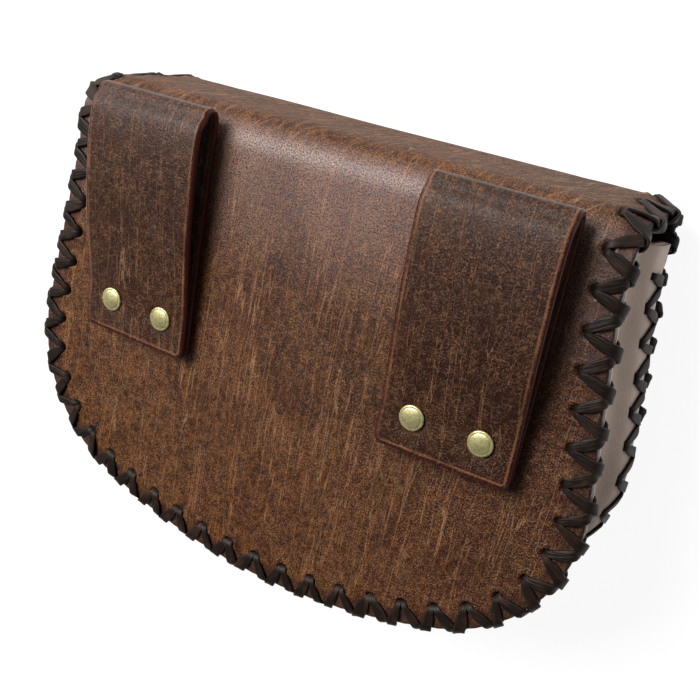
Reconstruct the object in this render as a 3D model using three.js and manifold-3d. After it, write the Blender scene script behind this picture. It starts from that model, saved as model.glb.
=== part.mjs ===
// Medieval belt pouch, lying on its front with the belt loops up.
// Millimetres, +X across the pouch, +Y to its top, +Z from the front to the back.
// Depths are measured from the back panel's outer face toward the front.
import * as THREE from 'three';
import { mergeVertices } from 'three/addons/utils/BufferGeometryUtils.js';
import Module from 'manifold-3d';

const wasm = await Module();
wasm.setup();

// Leather, lace and clearance
const BODY_LEATHER = 2.6;
const GUSSET_LEATHER = 2.2;
const LACE_BUILD_UP = 1.1;
const CLEARANCE = 0.35;

// Seam outline of the back, through the lace holes
const LACE_PITCH = 12.6;
const LACE_REACH = 1;
const LACING_JOIN_PITCHES = 18.4;
const EDGE_MARGIN = 8.1;
const TOP_HALF_WIDTH = 97.5;
const FOLD_START_Y = 87.1;
const BACK_BOTTOM_Y = -62.4;
const BOTTOM_TURN = 0.379;
const CORNER_RADIUS = 51.8;
const SIDE_LEAN = 0.137;
const EASE_RADIUS = 60;
const SHOULDER_LENGTH = 11;

// Top folds and flap
const FOLD_RADIUS = 13.5;
const FOLD_STEPS = 5;
const FLAP_BOTTOM_Y = -40;

// Gentle swell of the back panel
const BACK_SWELL = 2.4;
const SWELL_CENTRE_Y = 5;

// Gusset and front panel
const SEAM_DEPTH = 49.2;
const FRONT_FLARE = 6.2;
const WEB_TUCK = 5;
const FIN_LEAN = 0.24;
const GUSSET_END_PITCHES = 17.8;
const FRONT_BULGE = 11;
const FRONT_PLANE_RISE = 5;
const FRONT_BEND_INSET = 4.6;
const FRONT_FLAT_BORDER = 10;
const FRONT_SPINE_PAST_STUD = 8;

// Belt loops
const LOOP_WIDTH = 48.5;
const LOOP_LENGTH = 90.5;
const LOOP_INSET = 32.8;
const LOOP_SHIFT = 0.6;
const LOOP_TOP_RISE = 11.9;
const LOOP_CORNER_RADIUS = 4.5;
const LOOP_BORDER = 6.25;
const BELT_SLOT = 5.8;
const LOOP_FOLD_THICKNESS = 9;

// Rivets and stud
const RIVET_SPREAD = 24.2;
const RIVET_INSET = 12.2;
const RIVET_CAP_RADIUS = 4.5;
const RIVET_CAP_HEIGHT = 1.3;
const RIVET_SHANK_RADIUS = 1.6;
const RIVET_BASE_RADIUS = 4;
const RIVET_BASE_HEIGHT = 0.9;
const STUD_INSET = 18;
const STUD_CAP_RADIUS = 6.5;
const STUD_SHANK_RADIUS = 2;
const STUD_BASE_RADIUS = 5;
const STUD_BASE_HEIGHT = 1.2;
const ROUND_SIDES = 14;

// Tolerances for merging points and comparing directions
const MERGE_TOLERANCE = 1e-4;
const TINY = 1e-6;

// Values that follow from the sizes above
const FLANGE_DEPTH = BODY_LEATHER + CLEARANCE + GUSSET_LEATHER / 2;
const BACK_STACK = BODY_LEATHER + CLEARANCE + GUSSET_LEATHER;
const LACE_THICKNESS = CLEARANCE + LACE_BUILD_UP;
const STUD_CAP_HEIGHT = 0.8 * LACE_BUILD_UP;
const LOOP_TOP_Y = FOLD_START_Y + LOOP_TOP_RISE;
const LOOP_BOTTOM_Y = LOOP_TOP_Y - LOOP_LENGTH;
const RIVET_Y = LOOP_BOTTOM_Y + RIVET_INSET;
const STUD_Y = FLAP_BOTTOM_Y + STUD_INSET;
const FRONT_SPINE_BOTTOM_Y = STUD_Y - FRONT_SPINE_PAST_STUD;
const LAYER_STEP = GUSSET_LEATHER / 2 + CLEARANCE + BODY_LEATHER / 2;
const FIN_DIRECTION = new THREE.Vector2(Math.sin(FIN_LEAN), Math.cos(FIN_LEAN));
const FIN_INWARD = new THREE.Vector2(-FIN_DIRECTION.y, FIN_DIRECTION.x);
const FRONT_LACING_DEPTH = SEAM_DEPTH + (EDGE_MARGIN + LACE_THICKNESS) * FIN_DIRECTION.y
  + (BACK_STACK - GUSSET_LEATHER / 2 + LACE_THICKNESS) * FIN_INWARD.y;
const FLAP_DEPTH = FRONT_LACING_DEPTH + CLEARANCE + LACE_THICKNESS + BODY_LEATHER;
const TOP_FLAT_DEPTH = FLAP_DEPTH - 2 * FOLD_RADIUS;
const FLOOR_DEPTH = FLAP_DEPTH + LACE_THICKNESS;

// Finishes
const FINISHES = {
  body: { color: 0x5b3a2a, roughness: 0.55, metalness: 0 },
  gusset: { color: 0x83756b, roughness: 0.6, metalness: 0 },
  lace: { color: 0x241a17, roughness: 0.5, metalness: 0 },
  brass: { color: 0x9a9358, roughness: 0.42, metalness: 0.8 },
};

// A D-shaped seam: a shallow bottom arc, a corner arc, a leaning side, a short arc that
// turns the side upright and a straight shoulder. The bottom radius and the side length
// are solved so that the seam ends at the top half width.
class SeamOutline {
  constructor(bottomY) {
    const upright = Math.PI / 2 + SIDE_LEAN;
    const across = TOP_HALF_WIDTH + EASE_RADIUS * (1 - Math.cos(SIDE_LEAN))
      - CORNER_RADIUS * (Math.sin(upright) - Math.sin(BOTTOM_TURN));
    const up = FOLD_START_Y - bottomY - SHOULDER_LENGTH - EASE_RADIUS * Math.sin(SIDE_LEAN)
      - CORNER_RADIUS * (Math.cos(BOTTOM_TURN) - Math.cos(upright));
    const sag = 1 - Math.cos(BOTTOM_TURN);
    const solve = Math.sin(BOTTOM_TURN) * Math.cos(SIDE_LEAN) + Math.sin(SIDE_LEAN) * sag;
    const bottomRadius = (across * Math.cos(SIDE_LEAN) + up * Math.sin(SIDE_LEAN)) / solve;
    const sideLength = (up * Math.sin(BOTTOM_TURN) - across * sag) / solve;
    this.bottomY = bottomY;
    this.pieces = [
      { length: bottomRadius * BOTTOM_TURN, turn: BOTTOM_TURN },
      { length: CORNER_RADIUS * (upright - BOTTOM_TURN), turn: upright - BOTTOM_TURN },
      { length: sideLength, turn: 0 },
      { length: EASE_RADIUS * SIDE_LEAN, turn: -SIDE_LEAN },
      { length: SHOULDER_LENGTH, turn: 0 },
    ];
    this.length = this.pieces.reduce((sum, piece) => sum + piece.length, 0);
  }

  // Point and outward direction at a signed distance from the bottom centre
  at(distance) {
    const side = Math.sign(distance) || 1;
    let left = Math.min(Math.abs(distance), this.length);
    let angle = 0;
    let x = 0;
    let y = this.bottomY;
    for (const piece of this.pieces) {
      const run = Math.min(left, piece.length);
      const turn = piece.turn * run / piece.length;
      const chord = turn === 0 ? run : 2 * Math.sin(turn / 2) * run / turn;
      x += chord * Math.cos(angle + turn / 2);
      y += chord * Math.sin(angle + turn / 2);
      angle += turn;
      left -= run;
    }
    const outward = new THREE.Vector3(side * Math.sin(angle), -Math.cos(angle), 0);
    return { point: new THREE.Vector3(side * x, y, 0), outward };
  }
}

const backSeam = new SeamOutline(BACK_BOTTOM_Y);
const flapSeam = new SeamOutline(FLAP_BOTTOM_Y);

// Height of the back panel's swell, which dies out at the seam
function swell(x, y) {
  const halfHeight = y > SWELL_CENTRE_Y ? FOLD_START_Y - SWELL_CENTRE_Y : SWELL_CENTRE_Y - BACK_BOTTOM_Y;
  const across = Math.max(0, 1 - (x / TOP_HALF_WIDTH) ** 2);
  const along = Math.max(0, 1 - ((y - SWELL_CENTRE_Y) / halfHeight) ** 2);
  return BACK_SWELL * across * along;
}

// Side profile of the top: back fold, flat top and flap fold, by distance along its skin
const FOLD_LENGTH = FOLD_RADIUS * Math.PI / 2;
const TOP_PROFILE_LENGTH = 2 * FOLD_LENGTH + TOP_FLAT_DEPTH;
function topProfile(distance) {
  const onTop = THREE.MathUtils.clamp(distance - FOLD_LENGTH, 0, TOP_FLAT_DEPTH);
  const turned = (distance - onTop) / FOLD_RADIUS;
  const y = FOLD_START_Y + FOLD_RADIUS * Math.sin(turned);
  const z = -FOLD_RADIUS * (1 - Math.cos(turned)) - onTop;
  return { y, z, normal: new THREE.Vector3(0, Math.sin(turned), Math.cos(turned)) };
}

// The wrap's laced edge by signed distance from the back's bottom centre:
// up the back seam, over the top and down round the flap
const WRAP_EDGE_LENGTH = backSeam.length + TOP_PROFILE_LENGTH + flapSeam.length;
function wrapEdge(distance) {
  const side = Math.sign(distance) || 1;
  const run = Math.abs(distance);
  if (run <= backSeam.length) {
    const { point, outward } = backSeam.at(distance);
    point.z = swell(point.x, point.y);
    return { point, outward, normal: new THREE.Vector3(0, 0, 1) };
  }
  if (run <= backSeam.length + TOP_PROFILE_LENGTH) {
    const { y, z, normal } = topProfile(run - backSeam.length);
    const point = new THREE.Vector3(side * TOP_HALF_WIDTH, y, z);
    return { point, outward: new THREE.Vector3(side, 0, 0), normal };
  }
  const { point, outward } = flapSeam.at(side * (WRAP_EDGE_LENGTH - run));
  point.z = -FLAP_DEPTH;
  return { point, outward, normal: new THREE.Vector3(0, 0, -1) };
}

// Triangles of one closed body, gathered corner by corner
class Shell {
  constructor() {
    this.corners = [];
  }

  triangle(a, b, c) {
    const flat = a.distanceTo(b) < TINY || b.distanceTo(c) < TINY || c.distanceTo(a) < TINY;
    if (!flat) this.corners.push(a, b, c);
  }

  quad(a, b, c, d) {
    this.triangle(a, b, c);
    this.triangle(a, c, d);
  }

  // The faces all turn the same way, so a negative volume turns them all round
  geometry() {
    let volume = 0;
    for (let i = 0; i < this.corners.length; i += 3) {
      const [a, b, c] = this.corners.slice(i, i + 3);
      volume += a.dot(b.clone().cross(c));
    }
    const ordered = volume < 0 ? this.corners.slice().reverse() : this.corners;
    return mergeVertices(new THREE.BufferGeometry().setFromPoints(ordered), MERGE_TOLERANCE);
  }
}

// A sheet of leather from two like grids of points, its two faces, joined round the border.
// A zipped sheet's first row folds onto itself and needs no border there.
function sheet(faceGrid, backGrid, zipped = false) {
  const shell = new Shell();
  const rows = faceGrid.length - 1;
  const columns = faceGrid[0].length - 1;
  for (let i = 0; i < rows; i += 1) {
    for (let j = 0; j < columns; j += 1) {
      shell.quad(faceGrid[i][j], faceGrid[i][j + 1], faceGrid[i + 1][j + 1], faceGrid[i + 1][j]);
      shell.quad(backGrid[i][j], backGrid[i + 1][j], backGrid[i + 1][j + 1], backGrid[i][j + 1]);
    }
    shell.quad(faceGrid[i][0], faceGrid[i + 1][0], backGrid[i + 1][0], backGrid[i][0]);
    shell.quad(
      faceGrid[i + 1][columns], faceGrid[i][columns], backGrid[i][columns], backGrid[i + 1][columns],
    );
  }
  for (let j = 0; j < columns; j += 1) {
    if (!zipped) shell.quad(faceGrid[0][j + 1], faceGrid[0][j], backGrid[0][j], backGrid[0][j + 1]);
    shell.quad(
      faceGrid[rows][j], faceGrid[rows][j + 1], backGrid[rows][j + 1], backGrid[rows][j],
    );
  }
  return shell.geometry();
}

// Unit normals of a flat polyline, to its left as it runs
function polylineNormals(points) {
  return points.map((point, i) => {
    const before = points[Math.max(i - 1, 0)];
    const after = points[Math.min(i + 1, points.length - 1)];
    const along = after.clone().sub(before).normalize();
    return new THREE.Vector2(-along.y, along.x);
  });
}

// Booleans
function toSolid(geometry) {
  const bare = geometry.clone();
  bare.deleteAttribute('normal');
  bare.deleteAttribute('uv');
  const merged = mergeVertices(bare, MERGE_TOLERANCE);
  return new wasm.Manifold(new wasm.Mesh({
    numProp: 3,
    vertProperties: Float32Array.from(merged.attributes.position.array),
    triVerts: Uint32Array.from(merged.index.array),
  }));
}

function toGeometry(solid) {
  const mesh = solid.getMesh();
  const geometry = new THREE.BufferGeometry();
  geometry.setAttribute('position', new THREE.BufferAttribute(mesh.vertProperties, 3));
  geometry.setIndex(new THREE.BufferAttribute(mesh.triVerts, 1));
  return geometry;
}

// Round holes through a piece, along Z
function punch(geometry, holes) {
  let solid = toSolid(geometry);
  for (const { x, y, radius, nearDepth, farDepth } of holes) {
    const drill = new THREE.CylinderGeometry(radius, radius, farDepth - nearDepth, ROUND_SIDES);
    drill.rotateX(Math.PI / 2);
    drill.translate(x, y, -(nearDepth + farDepth) / 2);
    solid = solid.subtract(toSolid(drill));
  }
  return toGeometry(solid);
}

// Body wrap: rows run across from edge to edge, columns are shares of the half width
const WRAP_COLUMNS = [-1, -0.78, -0.5, -0.2, 0.2, 0.5, 0.78, 1];
function wrapRows() {
  const row = (distance) => {
    const { point, outward, normal } = wrapEdge(distance);
    const edge = point.addScaledVector(outward, EDGE_MARGIN);
    return { halfWidth: edge.x, y: edge.y, z: edge.z, normal, onBack: distance <= backSeam.length };
  };
  const rows = [row(LACE_PITCH / 2)];
  for (let d = LACE_PITCH; d < backSeam.length - LACE_PITCH / 2; d += LACE_PITCH) rows.push(row(d));
  rows.push(row(backSeam.length));
  for (const start of [0, FOLD_LENGTH + TOP_FLAT_DEPTH]) {
    for (let i = start === 0 ? 1 : 0; i <= FOLD_STEPS; i += 1) {
      rows.push(row(backSeam.length + start + FOLD_LENGTH * i / FOLD_STEPS));
    }
  }
  for (let d = LACE_PITCH; d < flapSeam.length; d += LACE_PITCH) {
    rows.push(row(WRAP_EDGE_LENGTH - flapSeam.length + d));
  }
  return rows;
}

function bodyWrap(rivets) {
  const rows = wrapRows();
  const lift = (x, row) => (row.onBack ? swell(x, row.y) : row.z);
  const face = rows.map((row) => WRAP_COLUMNS.map((share) => {
    const x = share * row.halfWidth;
    return new THREE.Vector3(x, row.y, lift(x, row));
  }));
  const back = face.map((points, i) => points.map(
    (point) => point.clone().addScaledVector(rows[i].normal, -BODY_LEATHER),
  ));
  const rivetHoles = rivets.map(({ x, y }) => ({
    x, y, radius: RIVET_SHANK_RADIUS + CLEARANCE, nearDepth: -2 * BODY_LEATHER, farDepth: 3 * BODY_LEATHER,
  }));
  const studHole = {
    x: 0, y: STUD_Y, radius: STUD_SHANK_RADIUS + CLEARANCE,
    nearDepth: FLAP_DEPTH - 2 * BODY_LEATHER, farDepth: FLAP_DEPTH + BODY_LEATHER,
  };
  return punch(sheet(face, back), [...rivetHoles, studHole]);
}

// Points of a section laid across the seam at a distance: (offset, depth) pairs
function laySection(distance, section, swellShares) {
  const { point, outward } = backSeam.at(distance);
  return section.map((station, i) => {
    const laid = point.clone().addScaledVector(outward, station.x);
    laid.z = -station.y + swellShares[i] * swell(laid.x, laid.y);
    return laid;
  });
}

// Distances along the seam between two ends, one for each lace hole,
// and one more between holes round the tight corners
function seamStations(end) {
  const [bottomArc, cornerArc] = backSeam.pieces;
  const stations = [-end];
  const halves = Math.ceil(2 * end / LACE_PITCH) - 1;
  for (let k = -halves; k <= halves; k += 1) {
    const distance = k * LACE_PITCH / 2;
    const pastBottom = Math.abs(distance) - bottomArc.length;
    const inCorner = pastBottom > -LACE_PITCH && pastBottom < cornerArc.length + LACE_PITCH;
    if (k % 2 === 0 || inCorner) stations.push(distance);
  }
  stations.push(end);
  return stations;
}

// Gusset: a flange under the back panel, a tucked web that flares to the front seam,
// and a fin that stands forward with the front panel's rim
const GUSSET_END = GUSSET_END_PITCHES * LACE_PITCH;

// The web as shares: of the tuck inward, of the flare outward, and of the web's depth
const GUSSET_WEB = [
  { tuck: 0.32, flare: 0, depth: 0 },
  { tuck: 0.84, flare: 0, depth: 0.03 },
  { tuck: 1, flare: 0, depth: 0.3 },
  { tuck: 0.66, flare: 0, depth: 0.62 },
  { tuck: 0, flare: 0.06, depth: 0.83 },
  { tuck: 0, flare: 0.62, depth: 0.93 },
  { tuck: 0, flare: 1, depth: 1 },
];
function gussetSection() {
  const web = GUSSET_WEB.map(({ tuck, flare, depth }) => new THREE.Vector2(
    flare * FRONT_FLARE - tuck * WEB_TUCK, THREE.MathUtils.lerp(FLANGE_DEPTH, SEAM_DEPTH, depth),
  ));
  const seamHole = web[web.length - 1];
  return [
    new THREE.Vector2(EDGE_MARGIN, FLANGE_DEPTH),
    ...web,
    seamHole.clone().addScaledVector(FIN_DIRECTION, EDGE_MARGIN),
  ];
}

function gusset() {
  const section = gussetSection();
  const normals = polylineNormals(section);
  const shares = section.map((station) => (station.y === FLANGE_DEPTH ? 1 : 0));
  const face = section.map((p, i) => p.clone().addScaledVector(normals[i], GUSSET_LEATHER / 2));
  const back = section.map((p, i) => p.clone().addScaledVector(normals[i], -GUSSET_LEATHER / 2));
  const stations = seamStations(GUSSET_END);
  return sheet(
    stations.map((distance) => laySection(distance, face, shares)),
    stations.map((distance) => laySection(distance, back, shares)),
  );
}

// Front panel: a rim inside the gusset's fin, a bend and a gently bulged face.
// Each row runs from the right rim across the spine to the left rim.
const FRONT_PLANE_DEPTH = SEAM_DEPTH - FRONT_PLANE_RISE;
function frontRim() {
  const hole = new THREE.Vector2(FRONT_FLARE, SEAM_DEPTH).addScaledVector(FIN_INWARD, LAYER_STEP);
  return [
    hole.clone().addScaledVector(FIN_DIRECTION, EDGE_MARGIN),
    hole,
    new THREE.Vector2(hole.x - 0.48 * FRONT_BEND_INSET, SEAM_DEPTH - 0.3 * FRONT_PLANE_RISE),
    new THREE.Vector2(hole.x - FRONT_BEND_INSET, SEAM_DEPTH - 0.75 * FRONT_PLANE_RISE),
    new THREE.Vector2(-FRONT_FLAT_BORDER, FRONT_PLANE_DEPTH),
  ];
}

const SPINE_SHARES = [0.4, 1];
function frontBulge(share) {
  return FRONT_BULGE * (1 - (1 - share) ** 2);
}

function frontRow(distance, rim) {
  const still = rim.map(() => 0);
  const half = laySection(distance, rim, still);
  const inner = half[half.length - 1];
  const spineY = Math.max(inner.y, FRONT_SPINE_BOTTOM_Y);
  for (const share of SPINE_SHARES) {
    half.push(new THREE.Vector3(
      inner.x * (1 - share), THREE.MathUtils.lerp(inner.y, spineY, share), inner.z - frontBulge(share),
    ));
  }
  const mirrored = half.slice(0, -1).reverse().map((p) => new THREE.Vector3(-p.x, p.y, p.z));
  return [...half, ...mirrored];
}

function frontPanel() {
  const rim = frontRim();
  const normals = polylineNormals(rim);
  const face = rim.map((p, i) => p.clone().addScaledVector(normals[i], BODY_LEATHER / 2));
  const back = rim.map((p, i) => p.clone().addScaledVector(normals[i], -BODY_LEATHER / 2));
  const stations = [0, ...seamStations(GUSSET_END).filter((distance) => distance > TINY)];
  const panel = sheet(
    stations.map((distance) => frontRow(distance, face)),
    stations.map((distance) => frontRow(distance, back)),
    true,
  );
  return punch(panel, [{
    x: 0, y: STUD_Y, radius: STUD_SHANK_RADIUS + CLEARANCE,
    nearDepth: FRONT_PLANE_DEPTH - BODY_LEATHER, farDepth: FLAP_DEPTH,
  }]);
}

// Depth of the front panel's middle on its spine line
function frontSpineDepth(y) {
  const rimY = BACK_BOTTOM_Y + FRONT_FLAT_BORDER;
  const share = Math.min(1, (y - rimY) / (FRONT_SPINE_BOTTOM_Y - rimY));
  return FRONT_PLANE_DEPTH + frontBulge(share);
}

// Lacing: a binding folded over the edge. Its arms reach the holes and draw back between
// them, so both borders are toothed. Offsets run outward from the hole line. The sections
// stand half a pitch apart, and a quarter where a bent edge needs them.
const NOTCH_SHARE = 0.72;
const END_SPARE = 0.2;
function lacing({ from, to, frame, bent, stack, faceReach, backReach }) {
  const notch = NOTCH_SHARE * EDGE_MARGIN;
  const step = LACE_PITCH / 4;
  const first = Math.ceil(from / step + END_SPARE);
  const last = Math.floor(to / step - END_SPARE);
  const distances = [from];
  for (let k = first; k <= last; k += 1) {
    const onFold = bent && Math.abs(frame(k * step).normal.z) < 1 - TINY;
    if (k % 2 === 0 || onFold) distances.push(k * step);
  }
  distances.push(to);
  const outer = [];
  const inner = [];
  for (const distance of distances) {
    const { point, outward, normal } = frame(distance);
    const phase = Math.abs(distance / LACE_PITCH - Math.round(distance / LACE_PITCH)) * 2;
    const at = (offset, rise) => point.clone()
      .addScaledVector(outward, offset).addScaledVector(normal, rise);
    const faceEnd = THREE.MathUtils.lerp(-faceReach, notch, phase);
    const backEnd = THREE.MathUtils.lerp(-backReach, notch, phase);
    const nearEdge = EDGE_MARGIN + CLEARANCE;
    const farEdge = EDGE_MARGIN + LACE_THICKNESS;
    outer.push([
      at(faceEnd, LACE_THICKNESS), at(farEdge, LACE_THICKNESS),
      at(farEdge, -stack - LACE_THICKNESS), at(backEnd, -stack - LACE_THICKNESS),
    ]);
    inner.push([
      at(faceEnd, CLEARANCE), at(nearEdge, CLEARANCE),
      at(nearEdge, -stack - CLEARANCE), at(backEnd, -stack - CLEARANCE),
    ]);
  }
  return sheet(outer, inner);
}

const LACING_JOIN = LACING_JOIN_PITCHES * LACE_PITCH;
function lacingBack() {
  return lacing({
    from: -LACING_JOIN, to: LACING_JOIN, frame: wrapEdge, bent: true, stack: BACK_STACK,
    faceReach: LACE_REACH, backReach: 0,
  });
}

// One strip from the right end of the back lacing, over the top, round the flap
// and back over the top on the left
function lacingFlap() {
  const start = LACING_JOIN + CLEARANCE;
  const whole = 2 * WRAP_EDGE_LENGTH;
  const frame = (distance) => wrapEdge(distance <= WRAP_EDGE_LENGTH ? distance : distance - whole);
  return lacing({
    from: start, to: whole - start, frame, bent: true, stack: BODY_LEATHER,
    faceReach: LACE_REACH, backReach: LACE_REACH,
  });
}

// The front seam's frame on the gusset's fin
function finFrame(distance) {
  const { point, outward } = backSeam.at(distance);
  const lay = (v) => outward.clone().multiplyScalar(v.x).setZ(-v.y);
  const normal = lay(FIN_INWARD).negate();
  const hole = point.clone().add(lay(new THREE.Vector2(FRONT_FLARE, SEAM_DEPTH)));
  return { point: hole.addScaledVector(normal, GUSSET_LEATHER / 2), outward: lay(FIN_DIRECTION), normal };
}

function lacingFront() {
  return lacing({
    from: -GUSSET_END, to: GUSSET_END, frame: finFrame, bent: false, stack: BACK_STACK,
    faceReach: LACE_REACH / 2, backReach: -2 * LACE_REACH,
  });
}

// Belt loop: a strip folded at the top, its inner layer on the back panel, its outer layer
// lifted by the belt slot. Columns: share of the height from the lower end to the fold,
// and share of the full lift, going down the outer layer.
const OUTER_LAYER = [
  { height: 0.93, lift: 0.52 },
  { height: 0.85, lift: 0.82 },
  { height: 0.76, lift: 1 },
  { height: 0.72, lift: 1 },
  { height: 0.42, lift: 1 },
  { height: 0.38, lift: 1 },
  { height: 0.3, lift: 0.62 },
  { height: 0.22, lift: 0.1 },
  { height: 0.19, lift: 0 },
  { height: 0.08, lift: 0 },
  { height: 0, lift: 0 },
];
const INNER_HEIGHTS = [0, 0.19, 0.42, 0.65, 0.87];

const LOOP_MIDDLE = 0.57;

function loopFaceHeight(centreX) {
  const middleY = THREE.MathUtils.lerp(LOOP_BOTTOM_Y, LOOP_TOP_Y, LOOP_MIDDLE);
  return swell(Math.abs(centreX) - LOOP_WIDTH / 2, middleY) + CLEARANCE + 2 * BODY_LEATHER + BELT_SLOT;
}

// Columns across a loop: the edge of its flat middle, then round the corner by angle.
// The rise is how far the corner lifts the lower end there.
function loopColumns() {
  const corner = [0, Math.PI / 4, Math.PI / 2].map((angle) => ({
    offset: LOOP_WIDTH / 2 - LOOP_CORNER_RADIUS * (1 - Math.sin(angle)),
    rise: LOOP_CORNER_RADIUS * (1 - Math.cos(angle)),
  }));
  const right = [{ offset: LOOP_WIDTH / 2 - LOOP_BORDER, rise: 0 }, ...corner];
  const left = right.map(({ offset, rise }) => ({ offset: -offset, rise })).reverse();
  return [...left, ...right];
}

function loopPath(centreX, x, rise) {
  const endY = LOOP_BOTTOM_Y + rise;
  const height = (share) => THREE.MathUtils.lerp(endY, LOOP_TOP_Y, share);
  const rest = (y) => swell(x, Math.min(y, FOLD_START_Y)) + CLEARANCE + BODY_LEATHER / 2;
  const raised = loopFaceHeight(centreX) - BODY_LEATHER / 2;
  const path = INNER_HEIGHTS.map((share) => new THREE.Vector2(height(share), rest(height(share))));
  const foldRadius = (LOOP_FOLD_THICKNESS - BODY_LEATHER) / 2;
  const foldY = LOOP_TOP_Y - BODY_LEATHER / 2 - foldRadius;
  const foldZ = rest(foldY) + foldRadius;
  for (let i = 0; i <= FOLD_STEPS; i += 1) {
    const angle = -Math.PI / 2 + Math.PI * i / FOLD_STEPS;
    path.push(new THREE.Vector2(foldY + foldRadius * Math.cos(angle), foldZ + foldRadius * Math.sin(angle)));
  }
  for (const station of OUTER_LAYER) {
    const y = height(station.height);
    const flat = rest(y) + BODY_LEATHER + CLEARANCE;
    path.push(new THREE.Vector2(y, THREE.MathUtils.lerp(flat, raised, station.lift)));
  }
  return path;
}

function beltLoop(centreX, rivets) {
  const face = [];
  const back = [];
  for (const { offset, rise } of loopColumns()) {
    const x = centreX + offset;
    const path = loopPath(centreX, x, rise);
    const normals = polylineNormals(path);
    const laid = (thickness) => path.map((p, i) => {
      const q = p.clone().addScaledVector(normals[i], thickness);
      return new THREE.Vector3(x, q.x, q.y);
    });
    face.push(laid(-BODY_LEATHER / 2));
    back.push(laid(BODY_LEATHER / 2));
  }
  return punch(sheet(face, back), rivets.map(({ x, y }) => ({
    x, y, radius: RIVET_SHANK_RADIUS + CLEARANCE, nearDepth: -8 * BODY_LEATHER, farDepth: BODY_LEATHER,
  })));
}

// A round fastener along Z: a domed cap above, a shank and a flat base below. The dome is
// given as shares of the cap's radius and height.
const CAP_DOME = [
  { radius: 1, height: 0 },
  { radius: 0.97, height: 0.35 },
  { radius: 0.72, height: 0.82 },
  { radius: 0, height: 1 },
];
function fastener({ capRadius, capHeight, shankRadius, baseRadius, baseHeight, grip }) {
  const dome = CAP_DOME.map(({ radius, height }) => [radius * capRadius, grip + height * capHeight]);
  const profile = [
    [0, -baseHeight], [baseRadius, -baseHeight], [baseRadius, 0], [shankRadius, 0],
    [shankRadius, grip], ...dome,
  ].map(([x, y]) => new THREE.Vector2(x, y));
  return new THREE.LatheGeometry(profile, ROUND_SIDES).rotateX(Math.PI / 2);
}

// Lifts of the layers at a rivet: the panel's lower face and the loop's upper face
function rivetMesh({ name, x, y }) {
  const below = BODY_LEATHER + 2 * CLEARANCE;
  const above = 2 * BODY_LEATHER + 3 * CLEARANCE;
  const geometry = fastener({
    capRadius: RIVET_CAP_RADIUS, capHeight: RIVET_CAP_HEIGHT, shankRadius: RIVET_SHANK_RADIUS,
    baseRadius: RIVET_BASE_RADIUS, baseHeight: RIVET_BASE_HEIGHT, grip: below + above,
  });
  const mesh = piece(name, geometry, FINISHES.brass);
  mesh.position.set(x, y, swell(x, y) - below);
  return mesh;
}

function studMesh() {
  const inside = frontSpineDepth(STUD_Y) - BODY_LEATHER / 2 - 2 * CLEARANCE;
  const outside = FLAP_DEPTH + CLEARANCE;
  const geometry = fastener({
    capRadius: STUD_CAP_RADIUS, capHeight: STUD_CAP_HEIGHT, shankRadius: STUD_SHANK_RADIUS,
    baseRadius: STUD_BASE_RADIUS, baseHeight: STUD_BASE_HEIGHT, grip: outside - inside,
  });
  const mesh = piece('press_stud', geometry, FINISHES.brass);
  mesh.rotation.x = Math.PI;
  mesh.position.set(0, STUD_Y, -inside);
  return mesh;
}

function piece(name, geometry, finish) {
  const mesh = new THREE.Mesh(geometry, new THREE.MeshStandardMaterial({ ...finish }));
  mesh.name = name;
  return mesh;
}

function loopCentre(side) {
  return LOOP_SHIFT + side * (TOP_HALF_WIDTH - LOOP_INSET);
}

// Rivet places, named by loop and by side of the loop
function rivetPlaces() {
  const places = [];
  for (const [loopName, side] of [['left', -1], ['right', 1]]) {
    for (const [rivetName, out] of [['inner', -1], ['outer', 1]]) {
      const x = loopCentre(side) + side * out * RIVET_SPREAD / 2;
      places.push({ name: `rivet_${loopName}_${rivetName}`, side, x, y: RIVET_Y });
    }
  }
  return places;
}

const rivets = rivetPlaces();
const loopRivets = (side) => rivets.filter((rivet) => rivet.side === side);
const pouch = new THREE.Group();
pouch.add(
  piece('body_wrap', bodyWrap(rivets), FINISHES.body),
  piece('front_panel', frontPanel(), FINISHES.body),
  piece('gusset', gusset(), FINISHES.gusset),
  piece('belt_loop_left', beltLoop(loopCentre(-1), loopRivets(-1)), FINISHES.body),
  piece('belt_loop_right', beltLoop(loopCentre(1), loopRivets(1)), FINISHES.body),
  piece('lacing_back', lacingBack(), FINISHES.lace),
  piece('lacing_front', lacingFront(), FINISHES.lace),
  piece('lacing_flap', lacingFlap(), FINISHES.lace),
  ...rivets.map(rivetMesh),
  studMesh(),
);

// The pouch stands on the flap's lacing, with its footprint centred on the origin
const box = new THREE.Box3().setFromObject(pouch);
pouch.position.set(-(box.min.x + box.max.x) / 2, -(box.min.y + box.max.y) / 2, FLOOR_DEPTH);

export default pouch;
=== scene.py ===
"""Fine shape and finish of a medieval belt pouch that lies on its front with its loops up.

Lengths are millimetres in the pouch's own frame until they go into a mesh, which is in
metres. In that frame x runs across the pouch, y towards its top and z from the front flap
to the back panel, and z is zero on the back panel's outer face at its seam.
"""
import logging
import math
from dataclasses import dataclass, field
from enum import Enum
from typing import Protocol

import bmesh
import bpy
import numpy as np
from mathutils import Matrix, Vector


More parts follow.
